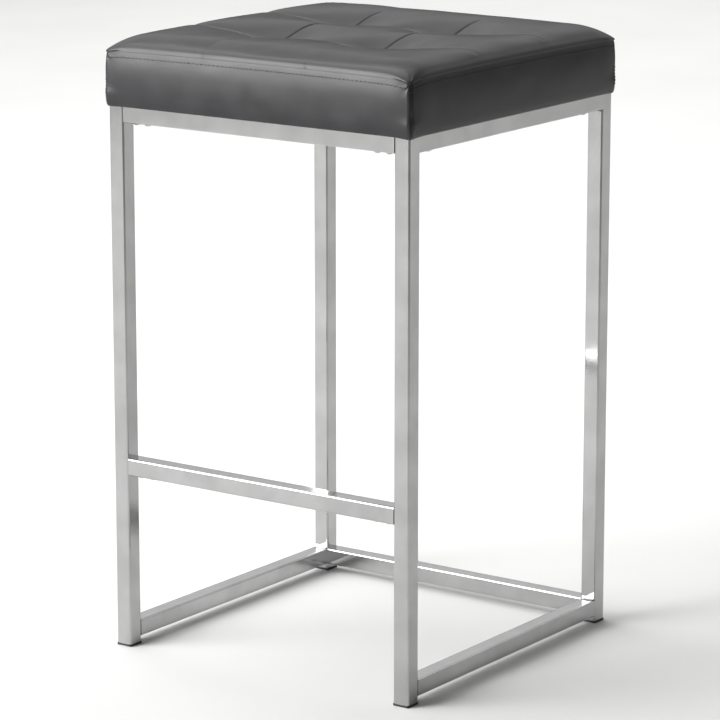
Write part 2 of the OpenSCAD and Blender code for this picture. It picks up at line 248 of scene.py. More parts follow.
def plain_mesh(name: str, points: Array, faces: list[Array]) -> bpy.types.Mesh:
    """Makes a mesh from points in millimetres, one row each, and arrays of quads or triangles.

    Args:
        name: The mesh's name.
        points: Rows of x, y, z.
        faces: Arrays of point numbers, one row a face.

    Returns:
        The new mesh, in metres.
    """
    mesh = bpy.data.meshes.new(name)
    mesh.from_pydata((points * MM).tolist(), [], [f for part in faces for f in part.tolist()])
    return mesh


def thicken(piece: bpy.types.Object, thickness: float) -> None:
    """Gives a cloth surface its thickness in millimetres, behind its face."""
    wall = piece.modifiers.new("cloth_thickness", "SOLIDIFY")
    wall.thickness, wall.offset = thickness * MM, -1.0


def mesh_piece(name: str, points: Array, faces: list[Array], finish: Finish,
               layers: dict[str, Array] | None = None) -> bpy.types.Object:
    """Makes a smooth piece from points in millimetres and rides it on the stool.

    Args:
        name: Name of the piece.
        points: Places in millimetres, one row each.
        faces: Arrays of quads or triangles.
        finish: Finish of the whole piece.
        layers: Values per point by attribute name.

    Returns:
        The new object, at the origin.
    """
    mesh = plain_mesh(name, points, faces)
    mesh.polygons.foreach_set("use_smooth", np.ones(len(mesh.polygons), bool))
    for label, values in (layers or {}).items():
        mesh.attributes.new(label, "FLOAT", "POINT").data.foreach_set("value", values.astype(np.float32))
    mesh.materials.append(finish.material())
    mesh.validate()
    mesh.update()
    piece = put(name, mesh)
    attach(piece, BODY)
    LOG.info("%s: %d points, %d faces", name, len(mesh.vertices), len(mesh.polygons))
    return piece


class Along(Enum):
    """Direction that a tube was drawn and buffed in."""

    X = 0
    Y = 1
    Z = 2


def pattern(tree: Tree, kind: str, places: Socket, size: float | Values,
            inputs: dict | None = None, **settings: object) -> Node:
    """Adds a texture at a real size.

    Args:
        tree: Tree that gets the nodes.
        kind: Blender's name of the texture's node type, without its ShaderNode.
        places: Object coordinates, in metres.
        size: Length of the pattern's unit in millimetres, one for all or one for each of x, y and z.
        inputs: Values or sockets by input name or number.
        settings: Properties of the texture.

    Returns:
        The texture.
    """
    sizes = size if isinstance(size, tuple) else (size,) * 3
    scaled = add_node(tree, "Mapping", {"Vector": places, "Scale": [1 / (MM * s) for s in sizes]})
    return add_node(tree, kind, {"Vector": scaled, "Scale": 1.0} | (inputs or {}), **settings)


@dataclass(frozen=True)
class Finish:
    """A named surface between a dark and a pale colour. Each kind links its pattern to one Principled shader.

    roughness holds the two values that it goes between, or one where it is constant.
    """

    name: str
    dark: str = "#808080"
    pale: str = "#808080"
    roughness: Values = (0.5,)
    metallic: float = 0.0
    ior: float = 1.5

    def material(self) -> bpy.types.Material:
        """The finish's node material, made once.

        Returns:
            The material, which later calls share.
        """
        found = bpy.data.materials.get(self.name)
        if found:
            return found
        made = bpy.data.materials.new(self.name)
        made.use_nodes = True
        tree = made.node_tree
        tree.nodes.clear()
        shader = add_node(tree, "BsdfPrincipled",
                          {"Roughness": self.roughness[0], "Metallic": self.metallic, "IOR": self.ior})
        add_node(tree, "OutputMaterial", {"Surface": shader})
        places = add_node(tree, "TexCoord").outputs["Object"]
        self.shade(tree, shader, places)
        return made

    def shade(self, tree: Tree, shader: Node, places: Socket) -> None:
        """Links the finish's pattern to the shader.

        Args:
            tree: Tree that gets the nodes.
            shader: The finish's shader.
            places: Object coordinates, in metres.
        """
        raise NotImplementedError

    def coat(self, tree: Tree, shader: Node, value: Node | Socket, span: Pair, height: Node | Socket,
             depth: float, strength: float = 1.0) -> Socket:
        """Links a colour between dark and pale, and a bump, to the shader.

        Args:
            tree: Tree that gets the nodes.
            shader: The finish's shader.
            value: What the colour follows.
            span: The values at which it is dark and pale.
            height: Height of the bump, as a share of its depth.
            depth: Depth of the bump in millimetres.
            strength: How much of the bump shows.

        Returns:
            The mixed colour.
        """
        share = add_node(tree, "MapRange", {0: value, 1: span[0], 2: span[1]})
        tint = add_node(tree, "Mix", {0: share, 6: linear_colour(self.dark), 7: linear_colour(self.pale)},
                        data_type="RGBA")
        tree.links.new(tint.outputs[2], shader.inputs["Base Color"])
        bump = add_node(tree, "Bump", {"Height": height, "Distance": depth * MM, "Strength": strength})
        tree.links.new(bump.outputs[0], shader.inputs["Normal"])
        return tint.outputs[2]

    def gloss(self, tree: Tree, shader: Node, value: Node, at: Pair) -> None:
        """Links a roughness that goes from its first to its last value.

        Args:
            tree: Tree that gets the nodes.
            shader: The finish's shader.
            value: What the roughness follows.
            at: The values at which it is first and last.
        """
        dull = add_node(tree, "MapRange", {0: value, 1: at[0], 2: at[1], 3: self.roughness[0],
                                           4: self.roughness[1]})
        tree.links.new(dull.outputs[0], shader.inputs["Roughness"])


@dataclass(frozen=True)
class BuffedChrome(Finish):
    """Bright chrome plate on drawn steel tube.

    The plate mirrors the studio as pale and dark bands. Buffing along the tube leaves the reflections slightly
    blurred, with faint lines that run with the tube and a soft haze that comes and goes over a few centimetres.
    """

    dark: str = "#adadad"
    pale: str = "#b8b8b8"
    roughness: Values = (0.07, 0.13)
    metallic: float = 1.0
    along: Along = Along.Z
    line_pitch: float = 1.1
    line_len: float = 160.0
    line_depth: float = 0.012
    haze_size: float = 38.0
    gloss_span: Pair = (0.45, 1.05)

    def shade(self, tree: Tree, shader: Node, places: Socket) -> None:
        """Noise stretched along the tube gives the buffing lines, and broad noise gives the haze.

        Args:
            tree: The node tree to add to.
            shader: The Principled BSDF node.
            places: Object coordinates in metres.
        """
        size = tuple(self.line_len if way is self.along else self.line_pitch for way in Along)
        lines = pattern(tree, "TexNoise", places, size, {"Detail": 3.0, "Roughness": 0.6})
        haze = pattern(tree, "TexNoise", places, self.haze_size, {"Detail": 4.0})
        both = add_node(tree, "Math", {0: lines, 1: haze, 2: haze}, operation="MULTIPLY_ADD")
        self.coat(tree, shader, haze, NOISE_SPAN, lines, self.line_depth)
        self.gloss(tree, shader, both, self.gloss_span)


@dataclass(frozen=True)
class Leatherette(Finish):
    """Polyurethane-coated cloth, embossed with a fine leather grain.

    It is dark grey and satin: a soft gloss spreads over the grain, brightest where the cover turns to the
    light, and worn a little smoother in broad patches. Needle holes follow the stitches below the top seam,
    each darkened by a near-black disc of painted shade.
    """

    dark: str = "#252527"
    pale: str = "#2c2c2e"
    roughness: Values = (0.31, 0.38)
    ior: float = 1.4
    # near-black colour of the painted shade in the needle holes between stitches
    hole_shade: str = "#0a0a0b"
    grain: float = 1.3
    grain_depth: float = 0.05
    grain_shown: float = 0.6
    mottle: float = 34.0
    # width of each disc of painted shade at the needle holes
    hole_shade_d: float = 2.3
    # painted shade in each needle puncture: its soft edge, as shares of the disc's width from the middle
    hole_shade_edge: Pair = (0.35, 0.65)

    def shade(self, tree: Tree, shader: Node, places: Socket) -> None:
        """Cells of grain raise the bump, a broad mottle moves colour and gloss, and painted shade darkens the
        needle holes along the stitches.

        The attributes "along" and "below" hold each point's distance from the middle of its side and its
        distance down from the top seam, in millimetres. Folding the first into half a pitch puts a near-black
        disc of painted shade, standing for the shadow in the needle's puncture, at each multiple of the pitch,
        between two stitches.

        Args:
            tree: The node tree to add to.
            shader: The Principled BSDF node.
            places: Object coordinates in metres.
        """
        cells = pattern(tree, "TexVoronoi", places, self.grain, feature="SMOOTH_F1")
        mottle = pattern(tree, "TexNoise", places, self.mottle, {"Detail": 3.0})
        plain = self.coat(tree, shader, mottle, NOISE_SPAN, cells, self.grain_depth, self.grain_shown)
        self.gloss(tree, shader, mottle, NOISE_WIDE)
        along, below = (add_node(tree, "Attribute", attribute_name=name).outputs["Fac"]
                        for name in ("along", "below"))
        off = add_node(tree, "Math", {0: along, 1: STITCH_PITCH / 2}, operation="PINGPONG")
        down = add_node(tree, "Math", {0: below, 1: STITCH_BELOW}, operation="SUBTRACT")
        both = add_node(tree, "CombineXYZ", {0: off, 1: down})
        far = add_node(tree, "VectorMath", {0: both}, operation="LENGTH")
        # painted shade: a mask of near-black discs in the needle holes, mixed over the cover's colour below
        hole_shade = add_node(tree, "MapRange", {0: far.outputs["Value"], 1: self.hole_shade_d * self.hole_shade_edge[0],
                                           2: self.hole_shade_d * self.hole_shade_edge[1], 3: 1.0, 4: 0.0})
        tint = add_node(tree, "Mix", {0: hole_shade, 6: plain, 7: linear_colour(self.hole_shade)},
                        data_type="RGBA")
        tree.links.new(tint.outputs[2], shader.inputs["Base Color"])


@dataclass(frozen=True)
class SpunThread(Finish):
    """Bonded polyester sewing thread: as dark as the cover and matt, ribbed by its twist."""

    dark: str = "#252527"
    pale: str = "#303032"
    roughness: Values = (0.7,)
    twist: float = 0.5
    twist_depth: float = 0.05

    def shade(self, tree: Tree, shader: Node, places: Socket) -> None:
        """Diagonal waves a twist apart darken and raise the thread.

        Args:
            tree: The node tree to add to.
            shader: The Principled BSDF node.
            places: Object coordinates in metres.
        """
        waves = pattern(tree, "TexWave", places, self.twist, {"Scale": WAVE_SCALE},
                        bands_direction="DIAGONAL").outputs["Fac"]
        self.coat(tree, shader, waves, (0.0, 1.0), waves, self.twist_depth)


@dataclass(frozen=True)
class Speckled(Finish):
    """A plain material whose surface varies finely: plastic, zinc plate, mill steel, foam, twine, paint.

    The eye sees one colour with a faint speckle at the grain's size, a little glossier where it is paler.
    """

    size: float = 1.0
    depth: float = 0.02

    def shade(self, tree: Tree, shader: Node, places: Socket) -> None:
        """One noise at the grain's size moves colour, gloss and height together.

        Args:
            tree: The node tree to add to.
            shader: The Principled BSDF node.
            places: Object coordinates in metres.
        """
        noise = pattern(tree, "TexNoise", places, self.size, {"Detail": 5.0})
        self.coat(tree, shader, noise, NOISE_WIDE, noise, self.depth)
        self.gloss(tree, shader, noise, NOISE_WIDE)


@dataclass(frozen=True)
class BirchPly(Finish):
    """Birch plywood: pale veneer with long grain, and on its edge the darker glue lines between its plies."""

    dark: str = "#a98456"
    pale: str = "#d8bf94"
    roughness: Values = (0.65,)
    # length and width of the grain, and thickness of a ply
    grain: Values = (90.0, 2.5, 1.5)
    grain_depth: float = 0.05
    span: Pair = (0.1, 0.6)

    def shade(self, tree: Tree, shader: Node, places: Socket) -> None:
        """Stretched noise gives the veneer's grain, and bands in height give the plies.

        Args:
            tree: The node tree to add to.
            shader: The Principled BSDF node.
            places: Object coordinates in metres.
        """
        grain = pattern(tree, "TexNoise", places, self.grain, {"Detail": 5.0})
        plies = pattern(tree, "TexWave", places, self.grain, {"Scale": WAVE_SCALE}, bands_direction="Z")
        both = add_node(tree, "Math", {0: grain, 1: plies.outputs["Fac"]}, operation="MULTIPLY")
        self.coat(tree, shader, both, self.span, grain, self.grain_depth)


@dataclass(frozen=True)
class SpunbondCloth(Finish):
    """Thin non-woven polypropylene: black and matt, pressed with rows of bond points between loose fibres."""

    dark: str = "#161618"
    pale: str = "#2a2a2d"
    roughness: Values = (0.85,)
    bond: float = 1.6
    # width, length and thickness of a fibre
    fibre: Values = (0.7, 5.0, 0.7)
    depth: float = 0.12
    jitter: float = 0.15
    span: Pair = (0.5, 1.2)

    def shade(self, tree: Tree, shader: Node, places: Socket) -> None:
        """Cells with little jitter set the bond points a pitch apart, and stretched noise gives the fibres.

        Args:
            tree: The node tree to add to.
            shader: The Principled BSDF node.
            places: Object coordinates in metres.
        """
        points = pattern(tree, "TexVoronoi", places, self.bond, {"Randomness": self.jitter})
        fibres = pattern(tree, "TexNoise", places, self.fibre, {"Detail": 4.0})
        height = add_node(tree, "Math", {0: points.outputs["Distance"], 1: fibres}, operation="ADD")
        self.coat(tree, shader, height, self.span, height, self.depth)


CHROME = {way: BuffedChrome(f"buffed_chrome_along_{way.name.lower()}", along=way) for way in Along}
# cold-headed and barrel-plated: brighter than the tube, with small soft clouds
SCREW_CHROME = BuffedChrome("bright_chrome_screw", roughness=(0.08, 0.16), line_pitch=4.0, line_len=4.0,
                            haze_size=9.0)
# plated over the weld bead, whose ripples stay
WELD_CHROME = BuffedChrome("chromed_weld", roughness=(0.14, 0.28), line_pitch=1.6, line_len=1.6,
                           line_depth=0.12, haze_size=6.0)
# unplated steel with its rolling scale: grey, dull and slightly cloudy
MILL_STEEL = Speckled("mill_finish_steel", "#5b5d60", "#7c7f83", (0.6, 0.35), metallic=1.0,
                      size=2.2, depth=0.03)
# thin zinc plate: pale, with the soft gloss of small crystals
ZINC_PLATE = Speckled("zinc_plated_steel", "#a9adb3", "#c5c8cc", (0.4, 0.25), metallic=1.0,
                      size=3.0, depth=0.01)
# moulded against a lightly etched tool: black, with a low sheen
GLIDE_PLASTIC = Speckled("moulded_black_polypropylene", "#141416", "#1f1f22", (0.58, 0.42), size=0.9,
                         depth=0.03)
# cut foam: yellowish, matt, with open cells
FOAM = Speckled("open_cell_polyurethane_foam", "#cdbb84", "#e6d8a8", (0.95, 0.85), size=0.8, depth=0.25)
# waxed cord: brownish grey, slightly glossy
TWINE = Speckled("waxed_nylon_twine", "#4c4a46", "#6d6a63", (0.65, 0.5), size=0.4, depth=0.08)
# rolled-on emulsion: plain and pale
STUDIO_PAINT = Speckled("matt_studio_floor", "#dcdcdb", "#e0e0df", (0.95, 0.85), size=400.0, depth=0.0)
PLYWOOD = BirchPly("birch_plywood")
LEATHERETTE = Leatherette("satin_leatherette")
THREAD = SpunThread("bonded_polyester_thread")
DUST_CLOTH = SpunbondCloth("spunbond_dust_cloth")


@dataclass
class ChromedFrame:
    """Square-tube frame, its fasteners and glides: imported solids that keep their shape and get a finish."""

    corners: tuple[str, ...] = ("front_left", "front_right", "rear_left", "rear_right")
    sides: tuple[str, ...] = ("left", "right")
    across: tuple[str, ...] = ("front_top_rail", "rear_top_rail", "footrest_bar", "rear_base_rail")
    tongues: tuple[str, ...] = ("front_top", "rear_top", "footrest", "rear_base")
    screws: tuple[str, ...] = ("front_top_rail", "rear_top_rail", "footrest", "rear_base_rail", "seat")

    def finishes(self) -> dict[str, Finish]:
        """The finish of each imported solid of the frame, by node name.

        Returns:
            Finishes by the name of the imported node.
        """
        groups = ((self.corners, "_leg", CHROME[Along.Z]), (self.across, "", CHROME[Along.X]),
                  (self.sides, "_top_rail", CHROME[Along.Y]), (self.sides, "_base_rail", CHROME[Along.Y]),
                  (self.sides, "_frame_welds", WELD_CHROME), (self.tongues, "_tongues", MILL_STEEL),
                  (self.screws, "_screws", SCREW_CHROME), (self.corners, "_glide", GLIDE_PLASTIC))
        return {name + kind: finish for names, kind, finish in groups for name in names}


@dataclass
class SeatCore:
    """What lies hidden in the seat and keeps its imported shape: board, tee nuts and the tufts' twine."""

    board: str = "seat_board"
    nuts: str = "tee_nuts"
    ties: str = "tuft_ties"

    def finishes(self) -> dict[str, Finish]:
        """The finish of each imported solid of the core, by node name."""
        return {self.board: PLYWOOD, self.nuts: ZINC_PLATE, self.ties: TWINE}


def dress(nodes: dict[str, bpy.types.Object], finishes: dict[str, Finish]) -> None:
    """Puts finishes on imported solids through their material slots, and reports each.

    Args:
        nodes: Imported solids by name.
        finishes: Finish of each node's single slot.
    """
    for name, finish in finishes.items():
        for place in nodes[name].material_slots:
            place.material = finish.material()
        LOG.info("%s: %s", name, finish.name)


@dataclass(frozen=True)
class Thread:
    """Sewing thread laid in short stitches that dip into the cover at both ends."""

    radius: float = 0.48
    sink: float = 0.45
    rise: float = 0.14
    rings: int = 5
    sides: int = 6

    def loops(self, name: str, starts: Array, ends: Array, ups: Array) -> bpy.types.Object:
        """Makes one piece of many stitches, each a closed spindle.

        Along its length t a stitch rises as sin(pi t)^0.5 from its needle holes, and its radius is
        r*sqrt(1 - (2t-1)^6).

        Args:
            name: Name of the piece.
            starts: First needle puncture of each stitch.
            ends: Last needle puncture of each stitch.
            ups: Unit normal of the cover at each stitch.

        Returns:
            The new piece.
        """
        t = np.linspace(0, 1, self.rings + 2)
        way = ends - starts
        way = way / np.linalg.norm(way, axis=1, keepdims=True)
        up = ups - way * np.sum(ups * way, axis=1, keepdims=True)
        up = up / np.linalg.norm(up, axis=1, keepdims=True)
        side = np.cross(up, way)
        height = -self.sink + (self.sink + self.rise) * np.sqrt(np.abs(np.sin(math.pi * t)))
        centre = (starts[:, None] * (1 - t)[None, :, None] + ends[:, None] * t[None, :, None]
                  + up[:, None] * height[None, :, None])
        turn = np.arange(self.sides) * math.tau / self.sides
        wide = self.radius * np.sqrt(np.maximum(1 - (2 * t - 1) ** 6, 0))[1:-1]
        spoke = np.cos(turn)[None, :, None] * side[:, None] + np.sin(turn)[None, :, None] * up[:, None]
        body = centre[:, 1:-1, None] + wide[None, :, None, None] * spoke[:, None]
        one = np.concatenate([centre[:, :1], body.reshape(len(starts), -1, 3), centre[:, -1:]], axis=1)
        count = self.rings * self.sides
        closed = looped(1 + np.arange(count).reshape(self.rings, self.sides))
        head = np.stack([np.zeros(self.sides, int), closed[0, 1:], closed[0, :-1]], axis=1)
        tail = np.stack([np.full(self.sides, count + 1), closed[-1, :-1], closed[-1, 1:]], axis=1)
        shift = (np.arange(len(starts)) * one.shape[1])[:, None, None]
        faces = [(part[None] + shift).reshape(-1, part.shape[1]) for part in (grid_quads(closed), head, tail)]
        return mesh_piece(name, one.reshape(-1, 3), faces, THREAD)


@dataclass
class Sewing:
    """The stitches over a finished cover, gathered one row at a time."""

    points: Array
    normals: Array
    starts: list[Array]
    ends: list[Array]
    ups: list[Array]

    def sew(self, run: Array, lines: tuple[Array, Array], first: Array, last: Array) -> None:
        """Adds stitches from one line of points to another, or along one line, by straight interpolation.

        Args:
            run: Length at each point of both lines.
            lines: Point numbers of the line that stitches start on and of the one that they end on.
            first: Length at which each stitch starts.
            last: Length at which each stitch ends.
        """
        def at(values: Array, where: Array) -> Array:
            """Vectors at lengths along a line."""
            return np.stack([np.interp(where, run, values[:, k]) for k in range(3)], axis=1)

        self.starts.append(at(self.points[lines[0]], first))
        self.ends.append(at(self.points[lines[1]], last))
        self.ups.append(at(self.normals[lines[1]], (first + last) / 2))


@dataclass
class Profile:
    """Rows of the cover below its top seam, one value per row.

    down is the length along the surface from the seam, share the part of the seam's height that a row keeps,
    lift its further height above the frame, inset its distance inside the outline, bow how far it bows in at
    mid-side, and rounding the share of the outline's corner radius.
    """

    down: Array
    share: Array
    lift: Array
    inset: Array
    bow: Array
    rounding: Array


@dataclass
class Skin:
    """Places and lengths over the cover's surface, one value per point.

    across_x and across_y are a point's stations, edge its distance from the seam on the top, and below its
    length below the seam. rows holds the point numbers of the rings from the seam down, and count the number of
    stations.
    """

    points: Array
    quads: Array
    across_x: Array
    across_y: Array
    edge: Array
    below: Array
    rows: Array
    count: int

    @property
    def run(self) -> Array:
        """Distance from the middle of the nearer side, along that side."""
        return np.minimum(np.abs(self.across_x), np.abs(self.across_y))

    @property
    def top(self) -> Array:
        """True on the top and its seam."""
        return self.below == 0


# taut leatherette over foam: stiff in its plane, slow to bend, blown up evenly from inside
CLOTH_SETTINGS = {"quality": 6, "mass": 0.35, "tension_stiffness": 22.0, "compression_stiffness": 22.0,
                  "shear_stiffness": 8.0, "bending_stiffness": 3.0, "use_pressure": True,
                  "uniform_pressure_force": 4.0, "shrink_min": -0.001, "vertex_group_mass": "sewn"}


@dataclass
class TuftedSeat:
    """Leatherette cover with nine padded squares, its foam, its seams and its stitching."""

    half: float = 200.0
    corner_r: float = 6.0
    frame_clear: float = 4.7
    board_top: float = 616.2
    skin_t: float = 1.1
    # the top seam: how it rises to mid-side, lies inside the outline and drops at the corners
    seam_h: float = 58.0
    seam_rise: float = 1.5
    seam_draw: float = 1.5
    side_draw: float = 1.2
    near_corner_drop: float = 4.0
    far_corner_drop: float = 2.0
    corner_reach: float = 15.0
    corner_power: float = 1.6
    # the side band: widest at this share of its depth, it draws in by wall_draw down to its bottom
    widest_share: float = 0.36
    wall_draw: float = 2.2
    wall_power: float = 2.6
    bow_loss: float = 0.8
    # the turned hem: where it starts, how deep it turns in and how far it hangs below the frame's top
    hem_start: float = 46.4
    hem_deep: float = 2.0
    hem_hang: float = 1.9
    hem_gap: float = 0.05
    hem_round: float = 0.35
    round_from: float = 0.8
    hem_w: float = 36.0
    # rows of the hem's return, as shares of its way to the flap
    back: Values = (0.5, 1.0)
    # the top's drawn channels: two side to side, two front to rear that fade before the edge, and four tufts
    channel_at: float = 66.0
    channel_fade: float = 115.0
    cross_depth: float = 9.5
    cross_reach: float = 23.0
    long_depth: float = 0.8
    long_reach: float = 16.0
    long_power: float = 1.3
    long_fade: Pair = (50.0, 105.0)
    tuft_depth: float = 6.5
    tuft_reach: float = 40.0
    tuft_power: float = 2.7
    roll_w: float = 40.0
    roll_h: float = 16.0
    crown_h: float = 0.5
    # notches where the left edge meets the channels
    notch: Pair = (1.7, 12.0)
    notch_fill: float = 0.5
    notch_in: Pair = (1.0, 12.0)
    notch_out: Pair = (80.0, 30.0)
    # hand filling: the left column is fuller, the rear a little higher, and each square differs
    left_fuller: float = 1.7
    rear_higher: float = 1.2
    uneven: float = 0.35
    fill_w: float = 12.0
    # sewn lines: depth and half-width of each groove and of the dish that it draws
    long_groove: Pair = (1.6, 1.3)
    cross_groove: Pair = (1.1, 1.5)
    cross_dish: Pair = (0.4, 6.0)
    cross_end: Pair = (4.0, 16.0)
    front_seam: Pair = (0.48, 0.7)
    side_seam: Pair = (0.26, 0.7)
    corner_seam: Pair = (0.5, 0.7)
    corner_dish: Pair = (1.5, 16.0)
    # the stitched strip stands out by strip_h, between the seam and the row of stitches
    strip_h: float = 0.05
    strip_from: Pair = (0.8, 2.4)
    strip_to: Pair = (1.2, -0.6)
    # the side band's dishes and waves die away over this length above the hem, the waves a little past it
    hem_fade: float = 10.0
    hem_past: float = 2.0
    # gathers that fan out from the corners, and creases where channels meet the edge
    gathers: Pair = (0.24, 13.0)
    gather_count: float = 11.0
    gather_turns: Pair = (0.6, 2.0)
    gather_from: Pair = (0.5, 4.0)
    # how far outside its channel a crease across x and one across y lies
    crease_off: Pair = (0.8, -1.1)
    crease_w: float = 1.5
    crease_fade: float = 9.0
    crease_long: float = 0.3
    crease_cross: float = 0.08
    crease_side: float = 0.1
    # dents: place along and down, spread along and down, and depth
    front_dents: Rows = ((-6.0, 40.0, 6.0, 16.0, 0.55), (96.0, 36.0, 16.0, 14.0, 0.2))
    right_dents: Rows = ((-150.0, 30.0, 12.0, 16.0, 0.25), (20.0, 36.0, 18.0, 12.0, 0.25))
    roll_dents: Rows = ((-109.0, 6.0, 3.0, 8.0, 0.4),)
    # slow waves of the foam: lengths, length over height, how they run down the sides and what is left there
    wave_lengths: Values = (150.0, 95.0, 62.0, 41.0)
    wave_slope: float = 650.0
    wave_down: float = 0.8
    wave_sides: float = 0.4
    # the waves are still at the seam and the channels, and grow over these distances
    seam_still: float = 14.0
    channel_still: float = 12.0
    # how far the hem droops outside the legs, from this share of the band's height to just past its lowest row
    droop_from: float = 0.55
    droop_past: float = 1.5
    droop_near: float = 1.3
    droop_far: float = 0.6
    droop_reach: float = 13.0
    stitch_len: float = 2.7
    # beside the corner seams: rows and ticks by distance from the seam, and first place, last place and pitch
    row_at: Pair = (2.5, 7.0)
    row_span: Values = (31.0, 51.0, 3.6)
    row_half: float = 1.1
    tick_at: Pair = (0.4, 2.5)
    tick_span: Values = (3.0, 48.0, 3.1)
    # the simulation starts this much lower inside the squares and may move a point no further than most_swell
    slack: float = 1.3
    slack_w: float = 18.0
    most_swell: float = 2.2
    frames: int = 20
    calm_passes: int = 8
    calm_kept: float = 0.4
    seed: int = 7
    # grid stations from the middle out: first, last and count of each span, then single ones
    coarse_spans: Rows = ((0, 66, 9), (66, 192, 17))
    coarse_edge: Values = (192.0, 200.0)
    fine_spans: Rows = ((0, 56, 14), (56, 62, 3), (62, 66, 4), (66, 70, 4), (70, 76, 3), (76, 172, 24),
                        (172, 192, 10))
    fine_edge: Values = (192.0, 193.0, 194.0, 195.0, 196.0, 197.0, 197.5, 198.1, 198.7, 199.2, 199.6, 200.0)
    # rows down the wall, angles of the hem's turn in degrees, and rows on the flap
    coarse_wall: int = 8
    coarse_turns: Values = (40, 70, 90)
    coarse_flap: Values = (20.0,)
    fine_wall: Values = (0.4, 0.8, 1.3, 2.0, 3.2, 4.6, 5.6, 6.2, 6.6, 7.0, 7.6, 8.8, 11.0, 14.0, 18.0, 22.0,
                         26.0, 30.0, 34.0, 38.0, 42.0, 44.5)
    fine_turns: Values = (12, 24, 36, 48, 58, 67, 75, 82, 87, 90)
    fine_flap: Values = (6.0, 12.0, 20.0, 28.0)
    panels: tuple[str, ...] = ("cover_top_panel", "cover_front_panel", "cover_rear_panel", "cover_left_panel",
                               "cover_right_panel")

    def plan(self, x: Array, y: Array, inset: Array | float, bow: Array | float,
             rounding: Array | float = 1.0) -> tuple[Array, Array]:
        """Places grid stations in plan: the outline shrinks by an inset, and each side bows in to its middle.

        Args:
            x: Stations along x, from -half to half.
            y: Stations along y, from -half to half.
            inset: Distance inside the seat's outline.
            bow: How far a side bows in at its middle.
            rounding: 1 for the full corner radius, towards 0 for a sharper corner.

        Returns:
            Places along x and along y.
        """
        px, py = rounded_square(x, y, self.half, self.corner_r, rounding)
        shrink = (self.half - inset) / self.half
        px = px * shrink - (x / self.half) ** 4 * bow * (1 - (y / self.half) ** 2)
        py = py * shrink - (y / self.half) ** 4 * bow * (1 - (x / self.half) ** 2)
        return np.sign(x) * px, np.sign(y) * py

    def near_corner(self, x: Array, y: Array) -> tuple[Array, Array]:
        """Distance from the nearest corner, and whether that is the front right one."""
        return np.hypot(self.half - np.abs(x), self.half - np.abs(y)), (x > 0) & (y < 0)

    def seam_height(self, x: Array, y: Array) -> Array:
        """Height of the seam's surface above the frame: it rises to mid-side and drops at the four corners.

        Args:
            x: Left or right of the centre, in millimetres.
            y: Front or back of the centre, in millimetres.

        Returns:
            Heights in millimetres.
        """
        rise = self.seam_rise * (1 - (x / self.half) ** 2 * (y / self.half) ** 2)
        far, front_right = self.near_corner(x, y)
        drop = np.where(front_right, self.near_corner_drop, self.far_corner_drop)
        return self.seam_h + rise - drop * bell(far, self.corner_reach, self.corner_power)

    def off_channel(self, v: Array) -> Array:
        """Distance from the nearer channel across one axis."""
        return np.abs(np.abs(v) - self.channel_at)

    def long_held(self, y: Array) -> Array:
        """How firmly a front-to-rear channel is drawn down: 1 about the crossings, 0 near front and rear."""
        return smooth_step(*self.long_fade, self.half - np.abs(y))

    def crown(self, x: Array, y: Array, slack: float) -> Array:
        """Height of the tufted top above the frame.

        Over the seam's surface stands a rolled edge, a quarter ellipse roll_w wide. The channels that run side
        to side draw it down by exp(-d/reach), d being the distance from the channel, and those that run front
        to rear by exp(-(d/reach)^1.3), both fading towards the edge. The four crossings lie deeper by
        exp(-(d/reach)^2.7) both ways.

        Args:
            x: Stations along x.
            y: Stations along y.
            slack: How much lower the squares start, in millimetres.

        Returns:
            Heights in millimetres.
        """
        def roll(v: Array) -> Array:
            """Quarter ellipse from the edge inwards."""
            t = np.clip((np.abs(v) - self.half + self.roll_w) / self.roll_w, 0, 1)
            return np.sqrt(1 - t * t)

        def run_out(v: Array) -> Array:
            """How much of a channel is left towards the edge."""
            return smooth_step(0.0, self.channel_fade, self.half - np.abs(v))

        def dome(v: Array) -> Array:
            """Flat in the middle, 0 at the edge."""
            return 1 - (v / self.half) ** 4

        def dimple(v: Array) -> Array:
            """How near a tuft lies along one axis."""
            return bell(self.off_channel(v), self.tuft_reach, self.tuft_power)

        def filled(v: Array, width: float) -> Array:
            """0 on a channel, 1 inside a square."""
            return 1 - bell(self.off_channel(v), width, self.long_power)

        cross = self.cross_depth * run_out(x) * bell(self.off_channel(y), self.cross_reach, 1.0)
        long = self.long_depth * run_out(y) * bell(self.off_channel(x), self.long_reach, self.long_power)
        hand = (filled(x, self.fill_w) * filled(y, self.fill_w) * self.hand_made(x, y)
                + self.rear_higher * y / self.half)
        loose = slack * filled(y, self.slack_w) * (1 - self.long_held(y) * (1 - filled(x, self.slack_w)))
        left = smooth_step(*self.notch_in, self.half + x) * smooth_step(*self.notch_out, self.half + x)
        notch = left * (groove(self.off_channel(y), self.notch) - self.notch_fill * run_out(y))
        stands = (self.roll_h + dome(x) * dome(y) * (self.crown_h + hand) - cross - long - notch
                  - self.tuft_depth * dimple(x) * dimple(y) - loose)
        return self.seam_height(x, y) + roll(x) * roll(y) * stands

    def hand_made(self, x: Array, y: Array) -> Array:
        """Extra height of each square: more in the left column, and a little chance in each.

        Args:
            x: Left or right of the centre, in millimetres.
            y: Front or back of the centre, in millimetres.

        Returns:
            Heights in millimetres.
        """
        rng = np.random.default_rng(self.seed)
        extra = self.uneven * rng.uniform(-1, 1, (3, 3))
        extra[:, 0] += self.left_fuller
        column, row = (np.searchsorted([-self.channel_at, self.channel_at], v) for v in (x, y))
        return extra[row, column]

    def stations(self, fine: bool) -> Array:
        """Grid stations from -half to half, close together at channels and seams.

        Args:
            fine: True for the drawn grid, false for the cloth's.

        Returns:
            Stations in rising order, in millimetres.
        """
        spans, edge = (self.fine_spans, self.fine_edge) if fine else (self.coarse_spans, self.coarse_edge)
        one = join(*(np.linspace(a, b, k, endpoint=False) for a, b, k in spans), edge)
        return join(-one[:0:-1], one)

